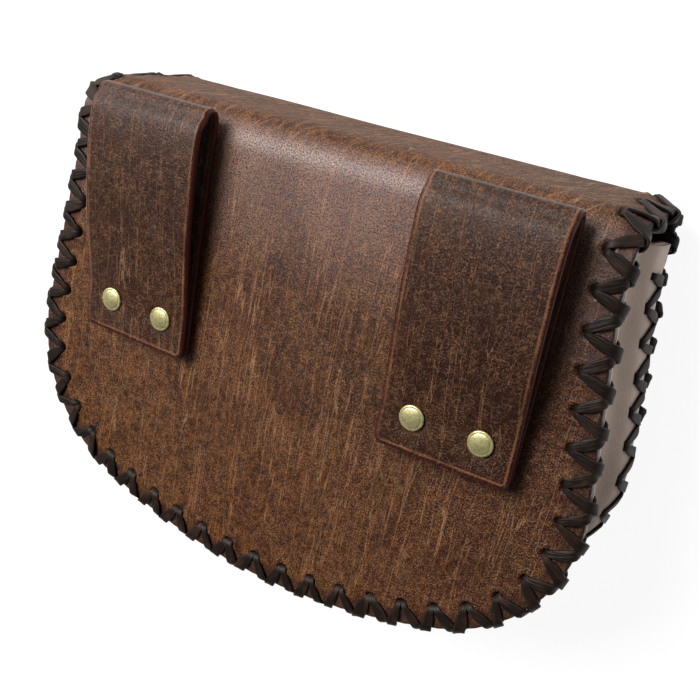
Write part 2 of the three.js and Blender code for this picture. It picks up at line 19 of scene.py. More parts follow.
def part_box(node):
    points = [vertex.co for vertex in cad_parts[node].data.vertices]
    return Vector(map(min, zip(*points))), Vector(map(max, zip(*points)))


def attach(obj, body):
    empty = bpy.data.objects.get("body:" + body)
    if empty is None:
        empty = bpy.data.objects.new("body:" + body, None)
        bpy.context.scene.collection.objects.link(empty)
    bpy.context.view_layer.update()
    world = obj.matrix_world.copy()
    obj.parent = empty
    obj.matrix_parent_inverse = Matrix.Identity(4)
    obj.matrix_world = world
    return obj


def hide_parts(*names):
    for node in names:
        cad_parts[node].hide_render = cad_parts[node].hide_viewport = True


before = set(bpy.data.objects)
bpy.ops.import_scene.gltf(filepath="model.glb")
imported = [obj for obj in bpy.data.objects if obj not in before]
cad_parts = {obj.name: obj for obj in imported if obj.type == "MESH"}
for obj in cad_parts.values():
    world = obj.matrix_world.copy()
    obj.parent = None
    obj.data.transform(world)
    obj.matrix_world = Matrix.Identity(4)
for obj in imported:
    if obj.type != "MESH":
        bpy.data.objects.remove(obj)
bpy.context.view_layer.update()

MM = 0.001
log = logging.getLogger("pouch")

Array = np.ndarray
Colour = tuple[float, float, float, float]
Socket = bpy.types.NodeSocket

SPAN_SAMPLES = 24
ROUND_DEGREES = (12.0, 35.0, 62.0)


# Small helpers

def smooth(value: Array, low: float, high: float) -> Array:
    """Smooth step: 0 below low, 1 above high, and 3s squared less 2s cubed between them.

    Args:
        value: numbers to grade.
        low: where the step starts.
        high: where the step ends.

    Returns:
        The graded numbers.
    """
    share = np.clip((np.asarray(value, float) - low) / (high - low), 0.0, 1.0)
    return share * share * (3.0 - 2.0 * share)


def linear(red: int, green: int, blue: int) -> Colour:
    """A screen colour as the linear colour that shaders take.

    Args:
        red: 0 to 255.
        green: 0 to 255.
        blue: 0 to 255.

    Returns:
        The linear colour with full alpha.
    """
    shares = [value / 255 for value in (red, green, blue)]
    made = [s / 12.92 if s <= 0.04045 else ((s + 0.055) / 1.055) ** 2.4 for s in shares]
    return (made[0], made[1], made[2], 1.0)


def grey(level: float) -> Colour:
    """An opaque grey."""
    return (level, level, level, 1.0)


def unit(vectors: Array) -> Array:
    """Vectors brought to length one along their last axis."""
    return vectors / np.maximum(np.linalg.norm(vectors, axis=-1, keepdims=True), 1e-12)


def laid(outward: Array, across: Array) -> Array:
    """A vector of offset and depth, laid at each of a seam's outward directions.

    Args:
        outward: (..., 2) outward directions.
        across: the vector's offset and depth.

    Returns:
        (..., 3) vectors.
    """
    depth = np.full(outward.shape[:-1] + (1,), across[1])
    return np.concatenate([outward * across[0], -depth], axis=-1)


def curve_through(points: Array, shares: Array) -> Array:
    """Samples of the smooth curve through some points.

    Each span is a cubic whose slope at a point is half the step between its neighbours.
    The curve is then sampled again at shares of its length.

    Args:
        points: (P, D) points.
        shares: (N,) shares of the length, from 0 to 1.

    Returns:
        (N, D) samples.
    """
    points = np.asarray(points, float)
    slopes = np.gradient(points, axis=0)
    spans = len(points) - 1
    dense = np.linspace(0, spans, SPAN_SAMPLES * spans + 1)
    i = np.minimum(dense.astype(int), spans - 1)
    u = (dense - i)[:, None]
    value = (
        (2 * u**3 - 3 * u**2 + 1) * points[i]
        + (u**3 - 2 * u**2 + u) * slopes[i]
        + (3 * u**2 - 2 * u**3) * points[i + 1]
        + (u**3 - u**2) * slopes[i + 1]
    )
    run = np.concatenate([[0], np.cumsum(np.linalg.norm(np.diff(value, axis=0), axis=1))])
    wanted = shares * run[-1]
    return np.stack([np.interp(wanted, run, value[:, d]) for d in range(value.shape[1])], axis=1)


# Sizes that the pieces share

@dataclass(frozen=True)
class Stock:
    """Thicknesses of the leathers and the lace, the gap between pieces and the lace's pitch."""

    body: float = 2.6
    gusset: float = 2.2
    lace: float = 1.1
    gap: float = 0.35
    pitch: float = 12.6
    margin: float = 8.1

    @property
    def joined(self) -> float:
        """Thickness of the body and gusset leathers where they are laced together."""
        return self.body + self.gap + self.gusset

    @property
    def binding(self) -> float:
        """Height of the lace over the leather."""
        return self.gap + self.lace


@dataclass(frozen=True)
class SeamOutline:
    """D-shaped line through the lace holes: arcs at the bottom and corner, then the side."""

    bottom_y: float
    top_half_width: float = 97.5
    fold_start_y: float = 87.1
    bottom_turn: float = 0.379
    corner_radius: float = 51.8
    side_lean: float = 0.137
    ease_radius: float = 60.0
    shoulder: float = 11.0

    def pieces(self) -> tuple[Array, Array]:
        """Lengths and turns of the outline's five pieces on one side.

        The bottom radius and the side length solve two sums: all the pieces together go
        across to the top half width and up to the start of the fold.

        Returns:
            The lengths and the turns, from the bottom centre up.
        """
        upright = math.pi / 2 + self.side_lean
        across = (
            self.top_half_width
            + self.ease_radius * (1 - math.cos(self.side_lean))
            - self.corner_radius * (math.sin(upright) - math.sin(self.bottom_turn))
        )
        up = (
            self.fold_start_y - self.bottom_y - self.shoulder
            - self.ease_radius * math.sin(self.side_lean)
            - self.corner_radius * (math.cos(self.bottom_turn) - math.cos(upright))
        )
        sag = 1 - math.cos(self.bottom_turn)
        sine, lean = math.sin(self.bottom_turn), self.side_lean
        solve = sine * math.cos(lean) + math.sin(lean) * sag
        bottom_radius = (across * math.cos(lean) + up * math.sin(lean)) / solve
        side = (up * sine - across * sag) / solve
        lengths = [
            bottom_radius * self.bottom_turn,
            self.corner_radius * (upright - self.bottom_turn),
            side,
            self.ease_radius * lean,
            self.shoulder,
        ]
        turns = [self.bottom_turn, upright - self.bottom_turn, 0.0, -lean, 0.0]
        return np.array(lengths), np.array(turns)

    @property
    def length(self) -> float:
        """Length of one side, from the bottom centre to the start of the fold."""
        return float(self.pieces()[0].sum())

    def at(self, distance: Array) -> tuple[Array, Array]:
        """Points and outward directions at signed distances from the bottom centre.

        Along a piece with a turn a, the chord of a run r is 2 sin(a / 2) r / a, and it
        points half a turn past the piece's starting direction.

        Args:
            distance: distances along the outline, negative on the left.

        Returns:
            Points (..., 2) and unit outward directions (..., 2).
        """
        lengths, turns = self.pieces()
        ends = np.cumsum(lengths)
        side = np.where(distance < 0, -1.0, 1.0)
        run = np.minimum(np.abs(distance), ends[-1])
        x = np.zeros_like(run)
        y = np.full_like(run, self.bottom_y)
        angle = np.zeros_like(run)
        for length, turn, end in zip(lengths, turns, ends):
            here = np.clip(run - (end - length), 0, length)
            bent = turn * here / length
            chord = here * np.sinc(bent / (2 * math.pi))
            x = x + chord * np.cos(angle + bent / 2)
            y = y + chord * np.sin(angle + bent / 2)
            angle = angle + bent
        outward = np.stack([side * np.sin(angle), -np.cos(angle)], axis=-1)
        return np.stack([side * x, y], axis=-1), outward


@dataclass(frozen=True)
class PouchForm:
    """The wrap's form: a back panel, a folded top and a flap cut from one flat pattern.

    The flat pattern has x across and t along the skin, from the back's bottom over the top
    to the flap's bottom. A lace hole's number counts from the back's bottom centre.
    """

    stock: Stock = Stock()
    back: SeamOutline = SeamOutline(bottom_y=-62.4)
    flap: SeamOutline = SeamOutline(bottom_y=-40.0)
    fold_radius: float = 13.5
    flap_depth: float = 64.1836
    swell_height: float = 2.4
    swell_centre_y: float = 5.0
    half_holes: int = 38
    hole_marks: tuple[tuple[int, float], ...] = (
        (0, 0.0), (18, 228.0), (19, 242.2), (20, 265.6), (21, 288.5),
    )
    curl: float = 2.6
    curl_start: tuple[float, float] = (-6.0, 12.0)
    curl_end: tuple[float, float] = (-16.0, 4.0)
    curl_reach: tuple[float, float] = (-3.0, 9.5)
    squeeze: float = 0.25
    waves: tuple[tuple[float, float, float, float], ...] = (
        (0.07, 23.0, 41.0, 0.6), (0.04, 11.0, -17.0, 2.1), (0.05, 31.0, -12.0, 4.0),
    )

    @property
    def fold_length(self) -> float:
        """Length of the skin round one fold of the top."""
        return self.fold_radius * math.pi / 2

    @property
    def top_flat(self) -> float:
        """Length of the flat part of the top."""
        return self.flap_depth - 2 * self.fold_radius

    @property
    def top_length(self) -> float:
        """Length of the skin over the top, both folds included."""
        return 2 * self.fold_length + self.top_flat

    @property
    def edge_length(self) -> float:
        """Length of half the wrap's edge, from bottom centre to bottom centre."""
        return self.back.length + self.top_length + self.flap.length

    def distance(self, hole: Array) -> Array:
        """Distances along the edge of hole numbers, fractions included.

        Some holes have known places, and those between them are even. Past the flap's
        bottom centre the count runs back up the left side.

        Args:
            hole: hole numbers, negative on the left side.

        Returns:
            Signed distances from the back's bottom centre.
        """
        hole = np.asarray(hole, float)
        whole = 2 * self.half_holes
        hole = (hole + self.half_holes) % whole - self.half_holes
        numbers, places = zip(*self.hole_marks, (self.half_holes, self.edge_length))
        run = np.interp(np.abs(hole), numbers, places)
        return np.where(hole < 0, -run, run)

    def pattern(self, distance: Array, offset: Array) -> Array:
        """Flat pattern points at distances along the edge and offsets outward of the holes.

        Args:
            distance: signed distances along the edge.
            offset: how far outward of the hole line.

        Returns:
            (..., 2) points x, t.
        """
        distance = np.asarray(distance, float)
        offset = np.broadcast_to(offset, distance.shape)
        side = np.where(distance < 0, -1.0, 1.0)
        run = np.abs(distance)
        back, back_out = self.back.at(side * np.minimum(run, self.back.length))
        flap, flap_out = self.flap.at(side * np.minimum(self.edge_length - run, self.flap.length))
        on_back = run <= self.back.length
        on_flap = run >= self.back.length + self.top_length
        start = self.back.fold_start_y
        x = side * (self.back.top_half_width + offset)
        t = start + run - self.back.length
        back_point = back + back_out * offset[..., None]
        flap_point = flap + flap_out * offset[..., None]
        flap_t = start + self.top_length + (start - flap_point[..., 1])
        x = np.where(on_back, back_point[..., 0], np.where(on_flap, flap_point[..., 0], x))
        t = np.where(on_back, back_point[..., 1], np.where(on_flap, flap_t, t))
        return np.stack([x, t], axis=-1)

    def swell(self, x: Array, y: Array) -> Array:
        """Height of the back's gentle swell: a product of two parabolas, zero at the seam.

        Args:
            x: places across the pouch.
            y: places along it.

        Returns:
            Heights.
        """
        above = self.back.fold_start_y - self.swell_centre_y
        below = self.swell_centre_y - self.back.bottom_y
        half_height = np.where(y > self.swell_centre_y, above, below)
        across = np.maximum(0, 1 - (x / self.back.top_half_width) ** 2)
        along = np.maximum(0, 1 - ((y - self.swell_centre_y) / half_height) ** 2)
        return self.swell_height * across * along

    def unevenness(self, x: Array, t: Array) -> Array:
        """Low unevenness of the leather: a sum of slanting sine waves.

        Args:
            x: pattern points' x.
            t: pattern points' t.

        Returns:
            Heights.
        """
        total = 0.0
        for height, across, along, start in self.waves:
            total = total + height * np.sin(x / across + t / along + start)
        return total

    def bare_skin(self, x: Array, t: Array) -> Array:
        """Outer face of the wrap: back panel, quarter circle, flat top, quarter circle, flap.

        Args:
            x: pattern points' x.
            t: pattern points' t.

        Returns:
            (..., 3) points.
        """
        start = self.back.fold_start_y
        along = np.clip(t - start, 0, self.top_length)
        on_top = np.clip(along - self.fold_length, 0, self.top_flat)
        turned = (along - on_top) / self.fold_radius
        past_flap = np.maximum(0, t - start - self.top_length)
        y = np.minimum(t, start) + self.fold_radius * np.sin(turned) - past_flap
        z = -self.fold_radius * (1 - np.cos(turned)) - on_top
        z = z + np.where(t < start, self.swell(x, t), 0)
        return np.stack([x + 0 * t, y, z], axis=-1)

    def skin(self, x: Array, t: Array, depth: Array) -> Array:
        """Points at a depth under the wrap's outer face.

        The face's normal is the cross product of its slopes, taken by small steps.

        Args:
            x: pattern points' x.
            t: pattern points' t.
            depth: how far under the face.

        Returns:
            (..., 3) points.
        """
        step = 0.05
        face = self.bare_skin(x, t)
        across = self.bare_skin(x + step, t) - self.bare_skin(x - step, t)
        along = self.bare_skin(x, t + step) - self.bare_skin(x, t - step)
        normal = unit(np.cross(across, along))
        return face + normal * (self.unevenness(x, t) - depth)[..., None]

    def droop(self, distance: Array, offset: Array) -> Array:
        """How far the free margin of the top curls inward, growing towards its edge.

        Args:
            distance: signed distances along the edge.
            offset: how far outward of the hole line.

        Returns:
            Depths under the uncurled face.
        """
        run = np.abs(distance)
        start, end = self.back.length, self.back.length + self.top_length
        begun = smooth(run, start + self.curl_start[0], start + self.curl_start[1])
        ended = smooth(run, end + self.curl_end[0], end + self.curl_end[1])
        return self.curl * begun * (1 - ended) * smooth(offset, *self.curl_reach)

    def edge_curl(self, hole: Array, offset: Array) -> Array:
        """How far the margin curls inward at hole numbers and offsets."""
        return self.droop(self.distance(hole), offset)

    def edge_frame(self, hole: Array) -> "EdgeFrame":
        """The frame of the wrap's laced edge.

        Args:
            hole: hole numbers, negative on the left side.

        Returns:
            The frame.
        """
        distance = self.distance(hole)
        inner = self.pattern(distance, 0.0)
        outer = self.pattern(distance, 1.0)
        point = self.skin(inner[..., 0], inner[..., 1], np.zeros(distance.shape))
        above = self.skin(inner[..., 0], inner[..., 1], np.full(distance.shape, -1.0))
        beside = self.skin(outer[..., 0], outer[..., 1], np.zeros(distance.shape))
        return EdgeFrame(point, unit(beside - point), unit(above - point))


@dataclass(frozen=True)
class EdgeFrame:
    """Points on a hole line with their outward and face directions."""

    point: Array
    outward: Array
    normal: Array

    def place(self, offset: Array, rise: Array) -> Array:
        """Points at offsets outward of the hole line and rises over the face."""
        return self.point + self.outward * offset[..., None] + self.normal * rise[..., None]


class LacedEdge(Protocol):
    """An edge with numbered lace holes."""

    def edge_frame(self, hole: Array) -> EdgeFrame:
        """The edge's frame at hole numbers."""

    def edge_curl(self, hole: Array, offset: Array) -> Array:
        """How far the margin curls inward at hole numbers and offsets."""


# Meshes

@dataclass
class PieceMesh:
    """Points, faces and point values gathered for one object."""

    points: list[Array] = field(default_factory=list)
    faces: list[list[int]] = field(default_factory=list)
    values: dict[str, list[Array]] = field(default_factory=dict)
    count: int = 0

    def add_points(self, points: Array, **values: Array) -> Array:
        """Adds points and their values.

        Args:
            points: (..., 3) points in millimetres.
            values: named arrays, one number or vector for each point.

        Returns:
            The points' numbers, shaped as the points are.
        """
        shape = points.shape[:-1]
        flat = points.reshape(-1, 3)
        numbers = np.arange(self.count, self.count + len(flat)).reshape(shape)
        self.points.append(flat)
        for name, value in values.items():
            width = value.shape[len(shape):]
            self.values.setdefault(name, []).append(np.asarray(value, float).reshape((-1,) + width))
        self.count += len(flat)
        return numbers

    def add_grid(self, numbers: Array, around: bool = False, turned: bool = False) -> None:
        """Adds the quads of a grid of point numbers.

        Args:
            numbers: (R, C) point numbers.
            around: whether the last column joins the first.
            turned: whether the quads face the other way.
        """
        grid = np.concatenate([numbers, numbers[:, :1]], axis=1) if around else numbers
        quads = np.stack([grid[:-1, :-1], grid[:-1, 1:], grid[1:, 1:], grid[1:, :-1]], axis=-1)
        quads = quads.reshape(-1, 4)
        self.faces.extend((quads[:, ::-1] if turned else quads).tolist())

    def add_tube(self, numbers: Array) -> None:
        """Adds a closed tube whose rows are flat sections, with both ends filled by quads.

        Args:
            numbers: (R, C) point numbers.
        """
        self.add_grid(numbers, around=True)
        half = numbers.shape[1] // 2
        for row, turned in ((numbers[0], False), (numbers[-1], True)):
            pair = np.stack([row[:half], row[::-1][:half]], axis=1)
            quads = np.stack([pair[:-1, 0], pair[1:, 0], pair[1:, 1], pair[:-1, 1]], axis=-1)
            self.faces.extend((quads[:, ::-1] if turned else quads).tolist())

    def build(self, name: str, origin: Array, merge: bool = False) -> bpy.types.Object:
        """Makes the object, smooth shaded, with its point values as attributes.

        Args:
            name: the object's name.
            origin: the pouch frame's origin in the part's frame, in millimetres.
            merge: whether points that coincide become one.

        Returns:
            The new object.
        """
        points = (np.concatenate(self.points) + origin) * MM
        mesh = bpy.data.meshes.new(name)
        mesh.from_pydata(points.tolist(), [], self.faces)
        for value_name, parts in self.values.items():
            value = np.concatenate(parts)
            kind = "FLOAT" if value.ndim == 1 else "FLOAT_VECTOR"
            key = "value" if value.ndim == 1 else "vector"
            layer = mesh.attributes.new(value_name, kind, "POINT")
            layer.data.foreach_set(key, value.astype(np.float32).ravel())
        if merge:
            work = bmesh.new()
            work.from_mesh(mesh)
            bmesh.ops.remove_doubles(work, verts=work.verts, dist=1e-6)
            work.to_mesh(mesh)
            work.free()
        mesh.validate()
        face_out(mesh)
        mesh.polygons.foreach_set("use_smooth", np.ones(len(mesh.polygons), bool))
        piece = bpy.data.objects.new(name, mesh)
        bpy.context.scene.collection.objects.link(piece)
        return piece


def face_out(mesh: bpy.types.Mesh) -> None:
    """Turns a closed mesh inside out where its volume comes out negative.

    Args:
        mesh: the mesh to turn.
    """
    work = bmesh.new()
    work.from_mesh(mesh)
    if work.calc_volume(signed=True) < 0:
        bmesh.ops.reverse_faces(work, faces=work.faces)
        work.to_mesh(mesh)
    work.free()


def slab_section(width: Array, thickness: Array, bevel: float, columns: int) -> tuple[Array, Array]:
    """Closed section of a leather strip: two flat faces joined by round edges.

    The upper half runs from the left edge over the face to the right edge. The edges are
    quarter ellipses as wide as the bevel. The lower half is the upper one turned over.

    Args:
        width: (S,) widths.
        thickness: (S,) thicknesses.
        bevel: how far the round edge reaches in from the side.
        columns: points across the flat face.

    Returns:
        Offsets across and heights, each (S, N).
    """
    angle = np.radians(ROUND_DEGREES)
    flat = np.linspace(-1, 1, columns)
    ends = np.ones(len(angle))
    share = np.concatenate([-ends, flat, ends])
    beyond = np.concatenate([-np.cos(angle), np.zeros(columns), np.cos(angle[::-1])])
    height = np.concatenate([np.sin(angle), np.ones(columns), np.sin(angle[::-1])])
    across = share * (width[:, None] / 2 - bevel) + beyond * bevel
    height = height * thickness[:, None] / 2
    return (
        np.concatenate([across, across[:, ::-1]], axis=1),
        np.concatenate([height, -height[:, ::-1]], axis=1),
    )


def strip_section(
    width: Array, thickness: float, count: int, roundness: float
) -> tuple[Array, Array]:
    """Closed section of a flat strip with rounded edges.

    The section is a superellipse: each half is a power of the cosine or sine of an angle,
    so that a low power gives a flat face and a short round edge.

    Args:
        width: widths, one for each section.
        thickness: the strip's thickness.
        count: points round the section, an even number.
        roundness: power of the sine, 1 for an ellipse and less for a flatter strip.

    Returns:
        Offsets across and heights, each (..., count).
    """
    angle = (np.arange(count) + 0.5) * 2 * math.pi / count
    across = np.sign(np.cos(angle)) * np.abs(np.cos(angle)) ** roundness
    height = np.sign(np.sin(angle)) * np.abs(np.sin(angle)) ** roundness
    width = np.asarray(width, float)[..., None]
    return across * width / 2, height * thickness / 2 + 0 * width


def revolved(profile: Array, centre: Array, sides: int) -> Array:
    """Points of a profile turned round an upright axis.

    Args:
        profile: (P, 2) radii and heights.
        centre: the axis's foot.
        sides: steps round the axis.

    Returns:
        (P, sides, 3) points.
    """
    angle = np.arange(sides) * 2 * math.pi / sides
    round_x = profile[:, :1] * np.cos(angle)
    round_y = profile[:, :1] * np.sin(angle)
    height = np.repeat(profile[:, 1:], sides, axis=1)
    return np.stack([round_x, round_y, height], axis=-1) + centre


# Sub-assemblies

@dataclass
class Piece:
    """An object of the pouch, the CAD nodes it stands for and its material slot."""

    name: str
    nodes: tuple[str, ...]
    slot: str
    origin: Array

    def finish(
        self, made: PieceMesh, material: bpy.types.Material, merge: bool = False
    ) -> bpy.types.Object:
        """Makes the object, dresses it, names its body and hides and logs the nodes it replaces.

        Args:
            made: the gathered mesh.
            material: the finish.
            merge: whether points that coincide become one.

        Returns:
            The new object.
        """
        piece = made.build(self.name, self.origin, merge)
        piece.data.materials.append(material)
        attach(piece, "root")
        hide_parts(*self.nodes)
        count = len(piece.data.polygons)
        log.info("%s: %d faces, replaces %s", self.name, count, ", ".join(self.nodes))
        return piece


@dataclass
class Wrap:
    """Back panel, top and flap: one skin with punched, puckered margins.

    Rings run parallel to the edge, with a fine step along them. A grid of half as many
    steps fills the middle, and its lower corners lie at the corner hole's number.
    """

    form: PouchForm
    origin: Array
    corner_hole: float = 8 + 4 / 6
    fine: int = 12
    inner_offset: float = -12.0
    face_offsets: tuple[float, ...] = (
        -10.5, -8.5, -6.8, -5.4, -4.2, -3.2, -2.4, -1.7, -1.0,
        -0.3, 0.4, 1.1, 1.8, 2.6, 3.5, 4.6, 5.8, 6.7,
    )
    rim: tuple[tuple[float, float], ...] = (
        (0.45, 0.0), (0.12, 0.12), (0.0, 0.4), (0.0, 0.75), (0.3, 1.0),
    )
    back_offsets: tuple[float, ...] = (6.0, 0.0, -10.5)
    hole_radius: float = 2.1
    hole_shift: float = -0.1
    hole_depth: float = 1.7
    hole_wall: tuple[float, float] = (0.55, 1.15)
    lip_height: float = 0.45
    lip_place: float = 1.45
    lip_width: float = 0.7
    pinch_start: float = 2.0
    pinch_depth: float = 0.35

    def ring(self, holes: Array, offset: float, depth: float) -> tuple[Array, dict[str, Array]]:
        """One ring of points round the wrap, parallel to its edge.

        The margin is pulled in where strands cross it, halfway between holes. Each hole
        is a round dent with a raised lip. The free margin of the top curls inward.

        Args:
            holes: hole numbers of the ring's points.
            offset: how far outward of the hole line.
            depth: how far under the outer face.

        Returns:
            Points and their named values.
        """
        form = self.form
        phase = holes - np.round(holes)
        pinch = smooth(offset, self.pinch_start, form.stock.margin) * np.abs(phase) * 2
        distance = form.distance(holes)
        x, t = np.moveaxis(form.pattern(distance, offset - form.squeeze * pinch), -1, 0)
        away = np.hypot(offset - self.hole_shift, phase * form.stock.pitch) / self.hole_radius
        on_face = 1.0 - min(1.0, depth / form.stock.body)
        dent = (1 - smooth(away, *self.hole_wall)) * on_face
        past_lip = (away - self.lip_place) * self.hole_radius / self.lip_width
        lip = np.exp(-(past_lip**2)) * on_face
        sunk = depth + self.hole_depth * dent - self.lip_height * lip + self.pinch_depth * pinch
        points = form.skin(x, t, sunk + form.droop(distance, offset))
        skin = np.stack([x, t, 0 * x + depth], axis=-1) * MM
        return points, {"skin": skin, "hole": dent, "rim": 0 * x + offset}

    def inside(self, depth: float) -> tuple[Array, Array]:
        """The middle of the wrap as a grid that blends its four bordering lines.

        Across and along shares u and v give (1 - v) bottom + v top + (1 - u) left
        + u right, less the same blend of the four corners, all in the flat pattern.

        Args:
            depth: how far under the outer face.

        Returns:
            Points and pattern values, each (R + 1, C + 1, 3).
        """
        form = self.form
        coarse = self.fine // 2
        columns = round(2 * self.corner_hole * coarse)
        rows = form.half_holes * coarse - columns
        holes = np.arange(2 * (columns + rows)) / coarse - self.corner_hole
        loop = form.pattern(form.distance(holes), self.inner_offset)
        loop = np.concatenate([loop, loop[:1]])
        turns = np.cumsum([0, columns, rows, columns, rows])
        bottom, right, top, left = (loop[a : b + 1] for a, b in zip(turns[:-1], turns[1:]))
        top, left = top[::-1], left[::-1]
        u = np.linspace(0, 1, columns + 1)[None, :, None]
        v = np.linspace(0, 1, rows + 1)[:, None, None]
        up = (1 - v) * bottom[None] + v * top[None]
        over = (1 - u) * left[:, None] + u * right[:, None]
        low_corners = (1 - u) * bottom[0] + u * bottom[-1]
        high_corners = (1 - u) * top[0] + u * top[-1]
        x, t = np.moveaxis(up + over - (1 - v) * low_corners - v * high_corners, -1, 0)
        values = np.stack([x, t, 0 * x + depth], axis=-1) * MM
        return form.skin(x, t, 0 * x + depth), values

    def fill(self, made: PieceMesh, ring: Array, depth: float, on_face: bool) -> None:
        """Adds the middle of a face and joins its border to a ring with twice as many points.

        Args:
            made: the mesh to add to.
            ring: the ring's point numbers.
            depth: how far the middle lies under the outer face.
            on_face: whether it is the outer face.
        """
        points, skin = self.inside(depth)
        blank = np.zeros(points.shape[:-1])
        grid = made.add_points(points, skin=skin, hole=blank, rim=blank + self.inner_offset)
        made.add_grid(grid, turned=not on_face)
        border = np.concatenate([grid[0, :-1], grid[:-1, -1], grid[-1, :0:-1], grid[:0:-1, 0]])
        following = np.roll(border, -1)
        fine = np.stack([ring[0::2], ring[1::2], np.roll(ring[0::2], -1)], axis=1)
        fans = np.concatenate([border[:, None], fine, following[:, None]], axis=1)
        made.faces.extend((fans if on_face else fans[:, ::-1]).tolist())

    def build(self, material: bpy.types.Material) -> bpy.types.Object:
        """Joins the middle, the rings of the margin, the rim and the inner face.

        Args:
            material: the finish.

        Returns:
            The new object.
        """
        body = self.form.stock.body
        margin = self.form.stock.margin
        made = PieceMesh()
        levels = [(offset, 0.0) for offset in self.face_offsets]
        levels += [(margin - inset, share * body) for inset, share in self.rim]
        levels += [(offset, body) for offset in self.back_offsets]
        count = 2 * self.form.half_holes * self.fine
        holes = np.arange(count) / self.fine - self.corner_hole
        rings = []
        for offset, depth in levels:
            points, values = self.ring(holes, offset, depth)
            rings.append(made.add_points(points, **values))
        made.add_grid(np.stack(rings), around=True, turned=True)
        self.fill(made, rings[0], 0.0, on_face=True)
        self.fill(made, rings[-1], body, on_face=False)
        piece = Piece("pouch_wrap", ("body_wrap",), "body_leather", self.origin)
        return piece.finish(made, material)


@dataclass
class Gusset:
    """Pale strip round the sides and bottom: a flange, a tucked web and a fin.

    The web is a table of shares: of the tuck inward, of the flare outward and of the
    seam's depth. A wave has a height, a length along the seam, a turn across and a start.
    """

    form: PouchForm
    origin: Array
    seam_depth: float = 49.2
    flare: float = 6.2
    tuck: float = 5.0
    fin_lean: float = 0.24
    end_pitches: float = 17.8
    row_step: float = 2.1
    stations: int = 44
    edge_thinning: float = 0.6
    edge_share: tuple[float, float] = (0.44, 0.5)
    pattern_width: float = 60.0
    waves: tuple[tuple[float, float, float, float], ...] = (
        (0.35, 9.0, 3.0, 0.0), (0.25, 23.0, 0.0, 1.0),
    )
    web: tuple[tuple[float, float, float], ...] = (
        (0.32, 0.0, 0.0), (0.84, 0.0, 0.03), (1.0, 0.0, 0.3), (0.66, 0.0, 0.62),
        (0.0, 0.06, 0.83), (0.0, 0.62, 0.93), (0.0, 1.0, 1.0),
    )

    @property
    def end(self) -> float:
        """Distance along the seam from the bottom centre to the gusset's end."""
        return self.end_pitches * self.form.stock.pitch

    @property
    def fin(self) -> Array:
        """Direction of the fin: offset outward and depth."""
        return np.array([math.sin(self.fin_lean), math.cos(self.fin_lean)])

    @property
    def inward(self) -> Array:
        """Direction from the fin towards the front panel: offset and depth."""
        return np.array([-self.fin[1], self.fin[0]])

    def section(self) -> Array:
        """The strip's middle line, each web row a share of its sizes.

        Returns:
            (S, 2) points of offset and depth.
        """
        stock = self.form.stock
        flange = stock.body + stock.gap + stock.gusset / 2
        rows = [
            (flare * self.flare - tuck * self.tuck, flange + depth * (self.seam_depth - flange))
            for tuck, flare, depth in self.web
        ]
        tip = np.array(rows[-1]) + self.fin * stock.margin
        return curve_through(
            np.array([(stock.margin, flange), *rows, tuple(tip)]), np.linspace(0, 1, self.stations)
        )

    def place(self, distance: Array, offset: Array, depth: Array) -> Array:
        """Points at offsets outward of the back's hole line and depths under its face.

        Args:
            distance: signed distances along the seam.
            offset: how far outward of the hole line.
            depth: how far under the back's face.

        Returns:
            (..., 3) points.
        """
        point, outward = self.form.back.at(distance)
        across = point + outward * offset[..., None]
        return np.concatenate([across, -depth[..., None]], axis=-1)

    def edge_frame(self, hole: Array) -> EdgeFrame:
        """The frame of the front seam on the fin's outer face.

        Args:
            hole: hole numbers, negative on the left side.

        Returns:
            The frame.
        """
        point, outward = self.form.back.at(np.asarray(hole, float) * self.form.stock.pitch)
        seam = np.concatenate([point, np.zeros(point.shape[:-1] + (1,))], axis=-1)
        across = np.array([self.flare, self.seam_depth]) - self.inward * self.form.stock.gusset / 2
        fin = laid(outward, self.fin)
        return EdgeFrame(seam + laid(outward, across), fin, -laid(outward, self.inward))

    def edge_curl(self, hole: Array, offset: Array) -> Array:
        """No curl, because the fin is flat."""
        return 0.0 * (hole + offset)

    def build(self, material: bpy.types.Material) -> bpy.types.Object:
        """Carries the strip's section along the seam, with edges pulled in at the strands.

        Args:
            material: the finish.

        Returns:
            The new object.
        """
        stock = self.form.stock
        line = self.section()
        along = unit(np.gradient(line, axis=0))
        normal = np.stack([-along[:, 1], along[:, 0]], axis=1)
        half = np.full((self.stations, 1), stock.gusset / 2)
        half[[0, -1]] *= self.edge_thinning
        section = np.concatenate([line + normal * half, (line - normal * half)[::-1]])
        count = round(2 * self.end / self.row_step)
        distance = np.linspace(-self.end, self.end, count + 1)
        phase = np.abs(distance / stock.pitch - np.round(distance / stock.pitch)) * 2
        across = np.concatenate([np.linspace(0, 1, self.stations), np.linspace(1, 0, self.stations)])
        edge = smooth(np.abs(across - 0.5), *self.edge_share)
        row, column = np.meshgrid(distance, np.arange(2 * self.stations), indexing="ij")
        place = across[column]
        pulled = self.form.squeeze * phase[:, None] * edge[None, :]
        on_fin = place >= 0.5
        offset = section[column, 0] - pulled * np.where(on_fin, self.fin[0], 1.0)
        depth = section[column, 1] - pulled * np.where(on_fin, self.fin[1], 0.0)
        for height, length, turn, start in self.waves:
            wave = height * np.sin(row / length + turn * place + start)
            offset = offset + wave * np.sin(math.pi * place) ** 2
        made = PieceMesh()
        skin = np.stack([row, place * self.pattern_width, 0 * row], axis=-1) * MM
        made.add_tube(made.add_points(self.place(row, offset, depth), skin=skin))
        piece = Piece("pouch_gusset", ("gusset",), "gusset_leather", self.origin)
        return piece.finish(made, material)


